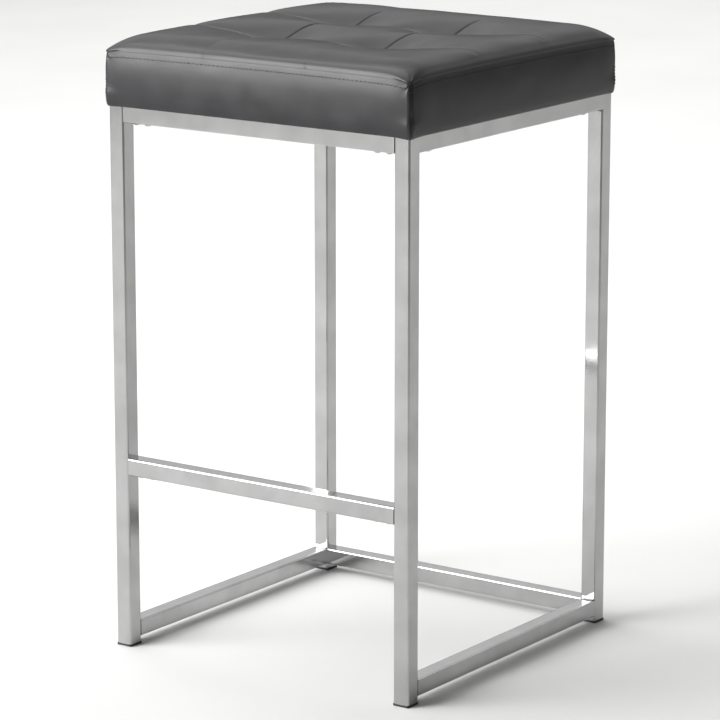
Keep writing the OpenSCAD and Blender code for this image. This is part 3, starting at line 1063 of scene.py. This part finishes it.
    def profile(self, fine: bool) -> Profile:
        """Rows of the side bands below the seam: the wall, the turned hem, its return and the flap.

        Args:
            fine: Whether rows crowd round the stitching.

        Returns:
            The rows, from the seam down.
        """
        if fine:
            wall, turns, flap = np.array([*self.fine_wall, self.hem_start]), self.fine_turns, self.fine_flap
        else:
            wall = np.linspace(self.hem_start / self.coarse_wall, self.hem_start, self.coarse_wall)
            turns, flap = self.coarse_turns, self.coarse_flap
        turns, flap = np.radians(turns), np.array([*flap, self.hem_w])
        still = np.zeros(len(wall))
        left = 1 - self.hem_start / self.seam_h
        share = join(1 - wall / self.seam_h, left * (1 - np.sin(turns)))
        u = 1 - share
        above = np.clip((self.widest_share - u) / self.widest_share, 0, 1)
        under = np.clip((u - self.widest_share) / (1 - self.widest_share), 0, 1)
        inset = (self.seam_draw * above ** 2 + self.wall_draw * under ** self.wall_power
                 + join(still, self.hem_deep * (1 - np.cos(turns))))
        lift = join(still, -self.hem_hang * np.sin(turns))
        bow = self.side_draw * (1 - self.bow_loss * u)
        rounding = 1 - (1 - self.hem_round) * smooth_step(self.round_from, 1.0, u)
        back, level = np.array(self.back), np.zeros(len(flap))
        inset = join(inset, inset[-1] + back * (self.frame_clear - inset[-1]), flap)
        lift = join(lift, lift[-1] + back * (self.hem_gap - lift[-1]), level + self.hem_gap)
        share = join(share, 0 * back, level)
        bow = join(bow, bow[-1] * (1 - back), level)
        rounding = join(rounding, 0 * back + self.hem_round, level + self.hem_round)
        steps = np.hypot(np.diff(inset), np.diff(share * self.seam_h + lift))
        down = join([wall[0]], wall[0] + np.cumsum(steps))
        return Profile(down, share, lift, inset, bow, rounding)

    def skin(self, fine: bool, slack: float) -> Skin:
        """Builds the cover's outer surface: the top grid, and rings down its sides and under the board.

        Args:
            fine: Whether the grid is the final one.
            slack: How much lower the squares start, in millimetres.

        Returns:
            Points, quads and the lengths that the details follow.
        """
        s = self.stations(fine)
        n = len(s)
        x, y = np.meshgrid(s, s)
        px, py = self.plan(x, y, self.seam_draw, self.side_draw)
        top = places_of(px, py, FRAME_TOP + self.crown(x, y, slack))
        index = np.arange(n * n).reshape(n, n)
        border = rim(index)
        x, y = x.ravel(), y.ravel()
        bx, by = x[border], y[border]
        rows = self.profile(fine)
        sx, sy = self.plan(bx, by, rows.inset[:, None], rows.bow[:, None], rows.rounding[:, None])
        sz = FRAME_TOP + rows.share[:, None] * self.seam_height(bx, by) + rows.lift[:, None]
        sides = places_of(sx, sy, sz)
        rings = join(border[None], n * n + np.arange(len(sides)).reshape(-1, len(border)))
        return Skin(points=join(top, sides),
                    quads=join(grid_quads(index), grid_quads(looped(rings)[::-1])),
                    across_x=join(x, np.tile(bx, len(rows.down))),
                    across_y=join(y, np.tile(by, len(rows.down))),
                    edge=join(self.half - np.maximum(np.abs(x), np.abs(y)), np.zeros(len(sides))),
                    below=join(np.zeros(n * n), np.repeat(rows.down, len(border))),
                    rows=rings, count=n)

    def swell(self, coarse: Skin) -> Array:
        """Blows the coarse cover up with a cloth simulation, held along every seam and drawn channel.

        Args:
            coarse: Coarse surface with its squares a little low.

        Returns:
            Movement of each coarse point in millimetres, no longer than most_swell.
        """
        mesh = plain_mesh("cover_before_swelling", coarse.points, [coarse.quads])
        cover = put("cover_before_swelling", mesh)
        cover.vertex_groups.new(name="sewn").add(np.flatnonzero(self.hold(coarse)).tolist(), 1.0, "REPLACE")
        cloth = cover.modifiers.new("swelling", "CLOTH")
        for name, value in CLOTH_SETTINGS.items():
            setattr(cloth.settings, name, value)
        cloth.settings.effector_weights.gravity = 0.0
        cloth.collision_settings.use_collision = False
        cloth.point_cache.frame_start, cloth.point_cache.frame_end = 1, self.frames
        scene = bpy.context.scene
        for frame in range(1, self.frames + 1):
            scene.frame_set(frame)
        shown = cover.evaluated_get(bpy.context.evaluated_depsgraph_get())
        moved = np.zeros(len(coarse.points) * 3)
        shown.data.vertices.foreach_get("co", moved)
        scene.frame_set(1)
        bpy.data.objects.remove(cover)
        bpy.data.meshes.remove(mesh)
        step = moved.reshape(-1, 3) / MM - coarse.points
        size = np.linalg.norm(step, axis=1, keepdims=True)
        step = step * (self.most_swell * np.tanh(size / self.most_swell) / np.maximum(size, 1e-6))
        LOG.info("swelling: up to %.2f mm, kept to %.2f mm; mean rise of the top %.2f mm", float(size.max()),
                 self.most_swell, float(step[coarse.top, 2].mean()))
        return step

    def hold(self, skin: Skin) -> Array:
        """True at points on a drawn channel, a seam, a corner seam, the turned hem and the flap.

        Args:
            skin: The points with their places on the pattern.

        Returns:
            One truth value a point.
        """
        ax, ay = np.abs(skin.across_x), np.abs(skin.across_y)
        long = (np.abs(ax - self.channel_at) < NEAR) & (self.long_held(ay) > 0.5)
        cross = (np.abs(ay - self.channel_at) < NEAR) & (ax < self.half - self.corner_reach)
        return np.where(skin.top, long | cross | (skin.edge < NEAR),
                        (skin.run > self.half - NEAR) | (skin.below > self.hem_start - NEAR))

    def calmed(self, move: Array, coarse: Skin) -> Array:
        """Evens out the simulated movement over neighbouring points, so the cover shows no ripples.

        Args:
            move: Movement of each coarse point.
            coarse: Coarse surface.

        Returns:
            The smoothed movement; held points stay still.
        """
        edges = join(*(coarse.quads[:, [k, (k + 1) % 4]] for k in range(4)))
        count = np.bincount(edges.ravel(), minlength=len(move))[:, None]
        free = ~self.hold(coarse)[:, None]
        for _ in range(self.calm_passes):
            total = np.zeros_like(move)
            np.add.at(total, edges[:, 0], move[edges[:, 1]])
            np.add.at(total, edges[:, 1], move[edges[:, 0]])
            move = free * (self.calm_kept * move + (1 - self.calm_kept) * total / count)
        return move

    def spread(self, move: Array, coarse: Skin) -> Array:
        """Carries the coarse points' movement to the fine grid with cubic curves both ways.

        Args:
            move: Movement of each coarse point.
            coarse: Coarse surface.

        Returns:
            Movement of each fine point.
        """
        def carried(down: Array, across: Array, grid: Array) -> Array:
            """A grid of movements through the weights of both ways."""
            return np.einsum("ai,bj,ijc->abc", down, across, grid).reshape(-1, 3)

        def round_ring(stations: Array) -> Array:
            """Length round the seam at each station, all the way round."""
            step = np.diff(stations)
            return join([0.0], np.cumsum(join(step, step, step[::-1], step[::-1])))

        s, t, n = self.stations(False), self.stations(True), coarse.count
        w = curve_weights(s, t)
        along = curve_weights(round_ring(s), round_ring(t)[:-1])
        deep = curve_weights(join([0.0], self.profile(False).down), self.profile(True).down)
        top = carried(w, w, move[:n * n].reshape(n, n, 3))
        return join(top, carried(deep, along, looped(move[coarse.rows])))

    def sewn(self, skin: Skin) -> Array:
        """Height of seams, channels and the stitched strip along the surface's normal, in millimetres.

        Args:
            skin: The points with their places on the pattern.

        Returns:
            One height a point.
        """
        ax, ay, below = np.abs(skin.across_x), np.abs(skin.across_y), skin.below
        long = self.long_held(ay) * groove(ax - self.channel_at, self.long_groove)
        inside = smooth_step(*self.cross_end, self.half - ax)
        off = ay - self.channel_at
        cross = inside * (groove(off, self.cross_groove) + groove(off, self.cross_dish))
        seam = skin.edge + below
        seam = np.where(ax < ay, groove(seam, self.front_seam), groove(seam, self.side_seam))
        strip = (smooth_step(*self.strip_from, below)
                 * smooth_step(*(STITCH_BELOW + past for past in self.strip_to), below))
        corner = self.half - skin.run
        tied = (smooth_step(self.hem_start, self.hem_start - self.hem_fade, below)
                * (groove(corner, self.corner_seam) + groove(corner, self.corner_dish)))
        return np.where(skin.top, -np.maximum(long, cross), self.strip_h * strip - tied) - seam

    def pulled(self, skin: Skin) -> Array:
        """Height of what the sewing pulls, along the normal: gathers at the corners, creases, dents, waves.

        Args:
            skin: The points with their places on the pattern.

        Returns:
            One height a point, in millimetres.
        """
        dx, dy = self.half - np.abs(skin.across_x), self.half - np.abs(skin.across_y)
        corner = self.half - skin.run
        far = np.where(skin.top, np.hypot(dx, dy), np.hypot(corner, skin.below))
        turn = np.where(skin.top, np.arctan2(dy, dx), np.arctan2(skin.below, corner))
        gathers = (groove(far, self.gathers) * smooth_step(*self.gather_from, far)
                   * np.sin(self.gather_count * turn + np.where(skin.top, *self.gather_turns)))
        end_x, end_y = (bell(np.abs(v) - self.channel_at - off, self.crease_w) for v, off in
                        zip((skin.across_x, skin.across_y), self.crease_off))
        end_x, end_y = end_x * (dy < dx), end_y * (dx < dy)
        on_top = (self.crease_long * end_x + self.crease_cross * end_y) * bell(skin.edge, self.crease_fade, 1.0)
        on_side = self.crease_side * end_x * bell(skin.below, self.crease_fade, 1.0)
        creases = np.where(skin.top, on_top, on_side)
        return gathers - creases + self.dents(skin) + self.waves(skin)

    def dents(self, skin: Skin) -> Array:
        """Shallow dents in the front and right panels and the front's rolled edge, each a bell both ways.

        Args:
            skin: The points with their places on the pattern.

        Returns:
            One height a point, in millimetres.
        """
        x, y = skin.across_x, skin.across_y
        out = np.zeros(len(x))
        for side, run, deep, dents in (
                (~skin.top & (y <= NEAR - self.half), x, skin.below, self.front_dents),
                (~skin.top & (x >= self.half - NEAR), y, skin.below, self.right_dents),
                (skin.top & (y < self.roll_w - self.half), x, skin.edge, self.roll_dents)):
            for at, down, wide, tall, depth in dents:
                out -= np.where(side, depth * bell(run - at, wide) * bell(deep - down, tall), 0.0)
        return out

    def waves(self, skin: Skin) -> Array:
        """Slow unevenness of hand-cut foam: a few seeded sine waves, still at the seams and under the board.

        Args:
            skin: The points with their places on the pattern.

        Returns:
            One height a point, in millimetres.
        """
        rng = np.random.default_rng(self.seed + 1)
        out = np.zeros(len(skin.below))
        for length in self.wave_lengths:
            turn, phase = rng.uniform(0, math.tau, 2)
            level = (skin.across_x * math.cos(turn) + skin.across_y * math.sin(turn)
                     + self.wave_down * skin.below)
            out += length / self.wave_slope * np.sin(math.tau * level / length + phase)
        still = (smooth_step(0.0, self.seam_still, skin.edge + skin.below)
                 * smooth_step(self.hem_start + self.hem_past, self.hem_start - self.hem_fade, skin.below))
        channel = np.minimum(self.off_channel(skin.across_x), self.off_channel(skin.across_y))
        return out * still * np.where(skin.top, smooth_step(0.0, self.channel_still, channel), self.wave_sides)

    def droop(self, skin: Skin) -> Array:
        """How far the hem hangs lower at the corners, outside the legs; the flap under the board stays.

        Args:
            skin: The points with their places on the pattern.

        Returns:
            One length a point, in millimetres.
        """
        far, front_right = self.near_corner(skin.across_x, skin.across_y)
        rows = self.profile(True)
        tip = float(rows.down[np.argmin(rows.lift)])
        low = (smooth_step(self.seam_h * self.droop_from, self.seam_h, skin.below)
               * smooth_step(tip + self.droop_past, tip, skin.below))
        return -np.where(front_right, self.droop_near, self.droop_far) * bell(far, self.droop_reach) * low

    def build(self) -> None:
        """Makes the cover, its stitching and its foam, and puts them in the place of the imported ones."""
        slack = self.slack
        coarse, fine = self.skin(False, slack), self.skin(True, slack)
        move = self.calmed(self.swell(coarse), coarse)
        self.foam(coarse, move)
        points = fine.points + self.spread(move, coarse)
        points += point_normals(points, fine.quads) * (self.sewn(fine) + self.pulled(fine))[:, None]
        points[:, 2] += self.droop(fine)
        cover = mesh_piece("seat_cover", points, [fine.quads], LEATHERETTE,
                           {"along": fine.run, "below": fine.below})
        thicken(cover, self.skin_t)
        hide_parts(*self.panels)
        self.stitching(fine, points)

    def foam(self, coarse: Skin, move: Array) -> None:
        """Makes the foam block: the cover's own surface set in by its thickness, closed flat over the board.

        Args:
            coarse: Coarse surface.
            move: Movement of its points by the simulation.
        """
        # the skin's own thickness is drawn inwards, so the foam keeps clear of its back by as much again
        grown = coarse.points + move
        body = grown - point_normals(grown, coarse.quads) * (2 * self.skin_t + self.hem_gap)
        deepest = FRAME_TOP + self.seam_h - self.board_top
        keep = int(np.searchsorted(self.profile(False).down, deepest))
        index = np.arange(coarse.count ** 2).reshape(coarse.count, coarse.count)
        x, y = (v.ravel() for v in np.meshgrid(self.stations(False), self.stations(False)))
        fx, fy = self.plan(x, y, self.seam_draw + 2 * self.skin_t, self.side_draw)
        floor = places_of(fx, fy, np.full_like(fx, self.board_top + self.hem_gap))
        base = len(coarse.points) + index
        rings = looped(join(coarse.rows[:keep + 1], rim(base)[None]))
        quads = join(grid_quads(index), grid_quads(rings[::-1]), grid_quads(base)[:, ::-1])
        used, flat = np.unique(quads, return_inverse=True)
        piece = mesh_piece("seat_foam_block", join(body, floor)[used], [flat.reshape(-1, 4)], FOAM)
        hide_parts("seat_foam")

    def stitching(self, skin: Skin, points: Array) -> None:
        """Sews the row under the top seam, two short rows beside each corner seam and the ticks across it.

        The rows lie on the side panels and the ticks on the front and rear panels.

        Args:
            skin: Fine surface with its lengths.
            points: Final places of its points.
        """
        work = Sewing(points, point_normals(points, skin.quads), [], [], [])
        n, s = skin.count, self.stations(True)
        down = self.profile(True).down
        ring = looped(skin.rows)[1 + int(np.argmin(np.abs(down - STITCH_BELOW)))]
        most = int(self.half // STITCH_PITCH)
        at = (np.arange(-most, most) + 0.5) * STITCH_PITCH
        at = at[np.abs(at) < self.half - STITCH_PITCH]
        for side in range(4):
            line = ring[side * (n - 1):(side + 1) * (n - 1) + 1]
            run = skin.run[line] * np.where(np.arange(n) < n // 2, -1, 1)
            work.sew(run, (line, line), at - self.stitch_len / 2, at + self.stitch_len / 2)
        rows, ticks = np.arange(*self.row_span), np.arange(*self.tick_span)
        for corner, sign in itertools.product(range(4), (-1, 1)):
            def column(distance: float) -> Array:
                """Point numbers down the side, a distance from the corner seam."""
                steps = n - 1 - int(np.argmin(np.abs(s - (self.half - distance))))
                return skin.rows[1:, (corner * (n - 1) + sign * steps) % skin.rows.shape[1]]

            one = column(self.row_at[1])[0]
            if abs(skin.across_x[one]) > abs(skin.across_y[one]):
                for distance in self.row_at:
                    line = column(distance)
                    work.sew(down, (line, line), rows - self.row_half, rows + self.row_half)
            else:
                work.sew(down, (column(self.tick_at[0]), column(self.tick_at[1])), ticks, ticks)
        Thread().loops("cover_stitching", *(join(*part) for part in (work.starts, work.ends, work.ups)))


@dataclass
class DustCover:
    """Black cloth stapled under the board between the rails, and its staples."""

    half: float = 171.0
    corner_r: float = 10.0
    corner_steps: int = 8
    side_steps: int = 92
    flap_at: float = 164.0
    thick: float = 0.4
    sag: float = 1.6
    # from the flap's edge the cloth leaves the board over belly_start, by belly_gap
    belly_start: float = 30.0
    belly_gap: float = 0.3
    ripple: float = 0.35
    ripple_reach: float = 26.0
    staple_pitch: float = 38.0
    staple_free: float = 40.0
    staple_len: float = 10.0
    staple_wire: float = 0.7
    staple_leg: float = 1.0
    staple_inset: float = 4.0
    staple_gap: float = 0.05
    # cut-offs of a staple's bends along and up, outside and inside the wire
    outer_bend: Pair = (0.5, 0.25)
    inner_bend: Pair = (0.2, 0.2)

    def height(self, x: Array, y: Array) -> Array:
        """Underside's height: flat on the flaps, then a shallow belly with ripples from the staples.

        Args:
            x: Left or right of the centre, in millimetres.
            y: Front or back of the centre, in millimetres.

        Returns:
            Heights in millimetres.
        """
        inner = np.clip((self.flap_at - np.maximum(np.abs(x), np.abs(y))) / self.belly_start, 0, 1)
        belly = self.sag * (1 - (x / self.half) ** 2) * (1 - (y / self.half) ** 2)
        far_x, far_y = self.half - np.abs(x), self.half - np.abs(y)
        along = np.where(far_x < far_y, y, x)
        ripple = (self.ripple * np.cos(math.tau * along / self.staple_pitch)
                  * bell(np.minimum(far_x, far_y), self.ripple_reach, 1.0))
        return FRAME_TOP - self.thick - inner * (belly + ripple + self.belly_gap)

    def build(self) -> None:
        """Makes the cloth as a sheet on a grid with rounded corners, and the staples along its edge."""
        flat = self.half - self.corner_r
        s = join(np.linspace(-self.half, -flat, self.corner_steps, endpoint=False),
                 np.linspace(-flat, flat, self.side_steps, endpoint=False),
                 np.linspace(flat, self.half, self.corner_steps + 1))
        x, y = np.meshgrid(s, s)
        px, py = (np.sign(v) * p for v, p in zip((x, y), rounded_square(x, y, self.half, self.corner_r)))
        points = places_of(px, py, self.height(px, py))
        quads = grid_quads(np.arange(len(s) ** 2).reshape(len(s), len(s)))[:, ::-1]
        cloth = mesh_piece("dust_cover_cloth", points, [quads], DUST_CLOTH)
        thicken(cloth, 0.9 * self.thick)
        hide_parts("dust_cover")
        staples = self.staples()

    def staples(self) -> bpy.types.Object:
        """Makes flat wire staples a pitch apart, each a bar with two legs that go up through the cloth.

        Returns:
            The staples' object, a single mesh.
        """
        count = int((2 * self.half - self.staple_free) // self.staple_pitch)
        at = (np.arange(count + 1) - count / 2) * self.staple_pitch
        edge = self.half - self.staple_inset
        rows = [np.stack([at, np.full_like(at, e)], 1) for e in (-edge, edge)]
        centre = join(*rows, *(row[:, ::-1] for row in rows))
        along_x = np.arange(len(centre)) < 2 * len(at)
        way = np.where(along_x[:, None], [[1.0, 0.0]], [[0.0, 1.0]])
        side = np.stack([-way[:, 1], way[:, 0]], axis=1)
        half, wire = self.staple_len / 2, self.staple_wire
        low = FRAME_TOP - self.thick - self.staple_gap - wire
        out, inn, leg = self.outer_bend, self.inner_bend, self.staple_leg
        # outside and inside of the bent wire from its left tip to its bar, by place along and height
        bends = np.array([[[-half, leg], [-half, out[1]], [-half + out[0], 0.0]],
                          [[-half + wire, leg], [-half + wire, wire + inn[1]], [-half + wire + inn[0], wire]]])
        outline = np.concatenate([bends, bends[:, ::-1] * [-1.0, 1.0]], axis=1)
        k = outline.shape[1]
        flat = np.zeros((len(centre), 2, 2, k, 3))
        for i, w in enumerate((-wire / 2, wire / 2)):
            flat[:, i, ..., :2] = (centre[:, None, None] + way[:, None, None] * outline[None, ..., :1]
                                   + side[:, None, None] * w)
            flat[:, i, ..., 2] = low + outline[None, ..., 1]
        tube = np.stack([np.array([0, 1, 3, 2]) * k + j for j in range(k)])
        quads = join(grid_quads(looped(tube))[:, ::-1], tube[:1], tube[-1:, ::-1])
        faces = (quads[None] + (np.arange(len(centre)) * 4 * k)[:, None, None]).reshape(-1, 4)
        return mesh_piece("dust_cover_staples", flat.reshape(-1, 3), [faces], ZINC_PLATE)


@dataclass(frozen=True)
class SoftBox:
    """A rectangular diffused light in metres, aimed at a point."""

    name: str
    at: tuple[float, float, float]
    aim: tuple[float, float, float]
    size: Pair
    watts: float
    spread: float = 180.0

    def hang(self) -> None:
        """Adds the light to the scene."""
        lamp = bpy.data.lights.new(self.name, "AREA")
        lamp.shape = "RECTANGLE"
        lamp.size, lamp.size_y = self.size
        lamp.energy = self.watts
        lamp.spread = math.radians(self.spread)
        holder = put(self.name, lamp)
        holder.location = self.at
        holder.rotation_euler = (Vector(self.aim) - Vector(self.at)).to_track_quat("-Z", "Y").to_euler()


@dataclass
class Studio:
    """Pale floor, soft lights, a plain surround and the camera of the photograph's viewing angle."""

    floor_half: float = 14000.0
    boxes: tuple[SoftBox, ...] = (
        SoftBox("front_panel", (-2.7, -3.8, 1.35), (0.0, 0.0, 0.5), (2.6, 1.9), 44.0, 80.0),
        SoftBox("bridge_panel", (-2.3, -2.9, 3.0), (0.0, 0.0, 0.65), (3.2, 2.1), 23.0, 60.0),
        SoftBox("left_floor_box", (-2.6, -3.5, 2.6), (-2.6, -3.5, 0.0), (2.4, 2.4), 13.0, 80.0),
        SoftBox("top_box", (-1.9, -0.6, 3.6), (-1.9, -0.6, 0.0), (2.8, 3.2), 72.0),
        SoftBox("right_box", (2.3, 2.9, 2.6), (2.3, 2.9, 0.0), (2.6, 2.6), 10.0, 80.0),
        SoftBox("back_panel", (2.1, 4.0, 2.3), (0.0, 0.0, 0.65), (4.0, 3.2), 27.0),
        SoftBox("sweep_box", (-2.6, 3.6, 3.2), (-2.6, 3.6, 0.0), (5.6, 7.2), 112.0, 90.0),
    )
    dim: float = 0.06
    glow: float = 0.85
    # sines of the elevations between which the glow comes up, and those between which it dies away
    glow_low: Pair = (0.17, 0.26)
    glow_high: Pair = (0.75, 0.97)
    # where the glow is brightest, and the cosines from there between which it comes up
    glow_from: tuple[float, float, float] = (-0.93, 0.37, 0.0)
    glow_turn: Pair = (-0.5, 0.9)
    eye: tuple[float, float, float] = (2189.8, -3096.7, 1170.8)
    yaw: float = 0.61647
    pitch: float = -0.2228
    focal_px: float = 3538.3
    frame_px: float = 720.0
    sensor: float = 36.0
    clip: Pair = (0.1, 60.0)

    def floor(self) -> None:
        """Lays one flat square."""
        h = self.floor_half
        points = np.array([[-h, -h, 0.0], [h, -h, 0.0], [h, h, 0.0], [-h, h, 0.0]])
        mesh = plain_mesh("studio_floor", points, [np.array([[0, 1, 2, 3]])])
        mesh.materials.append(STUDIO_PAINT.material())
        put("studio_floor", mesh)

    def surroundings(self) -> None:
        """Fills the world with a dim grey, and a glow low over the horizon on the left."""
        world = bpy.data.worlds.new("studio_surround")
        bpy.context.scene.world = world
        world.use_nodes = True
        tree = world.node_tree
        tree.nodes.clear()
        way = add_node(tree, "TexCoord").outputs["Generated"]
        high = add_node(tree, "SeparateXYZ", {0: way}).outputs[2]
        over = add_node(tree, "MapRange", {0: high, 1: self.glow_low[0], 2: self.glow_low[1]})
        low = add_node(tree, "MapRange", {0: high, 1: self.glow_high[0], 2: self.glow_high[1],
                                                    3: self.glow, 4: 0.0})
        band = add_node(tree, "Math", {0: over, 1: low}, operation="MULTIPLY")
        side = add_node(tree, "VectorMath", {0: way, 1: self.glow_from}, operation="DOT_PRODUCT")
        toward = add_node(tree, "MapRange", {0: side.outputs["Value"], 1: self.glow_turn[0],
                                                       2: self.glow_turn[1]})
        level = add_node(tree, "Math", {0: band, 1: toward, 2: self.dim},
                         operation="MULTIPLY_ADD")
        light = add_node(tree, "Background", {"Color": (1, 1, 1, 1), "Strength": level})
        add_node(tree, "OutputWorld", {"Surface": light})

    def camera(self) -> None:
        """Sets up the camera: a long lens that looks along its yaw and pitch, without shift."""
        lens = bpy.data.cameras.new("studio_camera")
        lens.sensor_width = self.sensor
        lens.lens = self.focal_px / self.frame_px * self.sensor
        lens.clip_start, lens.clip_end = self.clip
        holder = put("studio_camera", lens)
        holder.location = [v * MM for v in self.eye]
        level = math.cos(self.pitch)
        look = Vector((-math.sin(self.yaw) * level, math.cos(self.yaw) * level, math.sin(self.pitch)))
        holder.rotation_euler = look.to_track_quat("-Z", "Y").to_euler()
        bpy.context.scene.camera = holder

    def build(self) -> None:
        """Builds the floor, the lights, the surround and the camera."""
        self.floor()
        for box in self.boxes:
            box.hang()
        self.surroundings()
        self.camera()
        bpy.context.scene.view_settings.view_transform = "Standard"


def main() -> None:
    logging.basicConfig(level=logging.INFO, format="%(name)s: %(message)s", stream=sys.stdout)
    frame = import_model()
    dress(frame["nodes"], ChromedFrame().finishes() | SeatCore().finishes())
    TuftedSeat().build()
    DustCover().build()
    Studio().build()


if __name__ == "__main__":
    main()
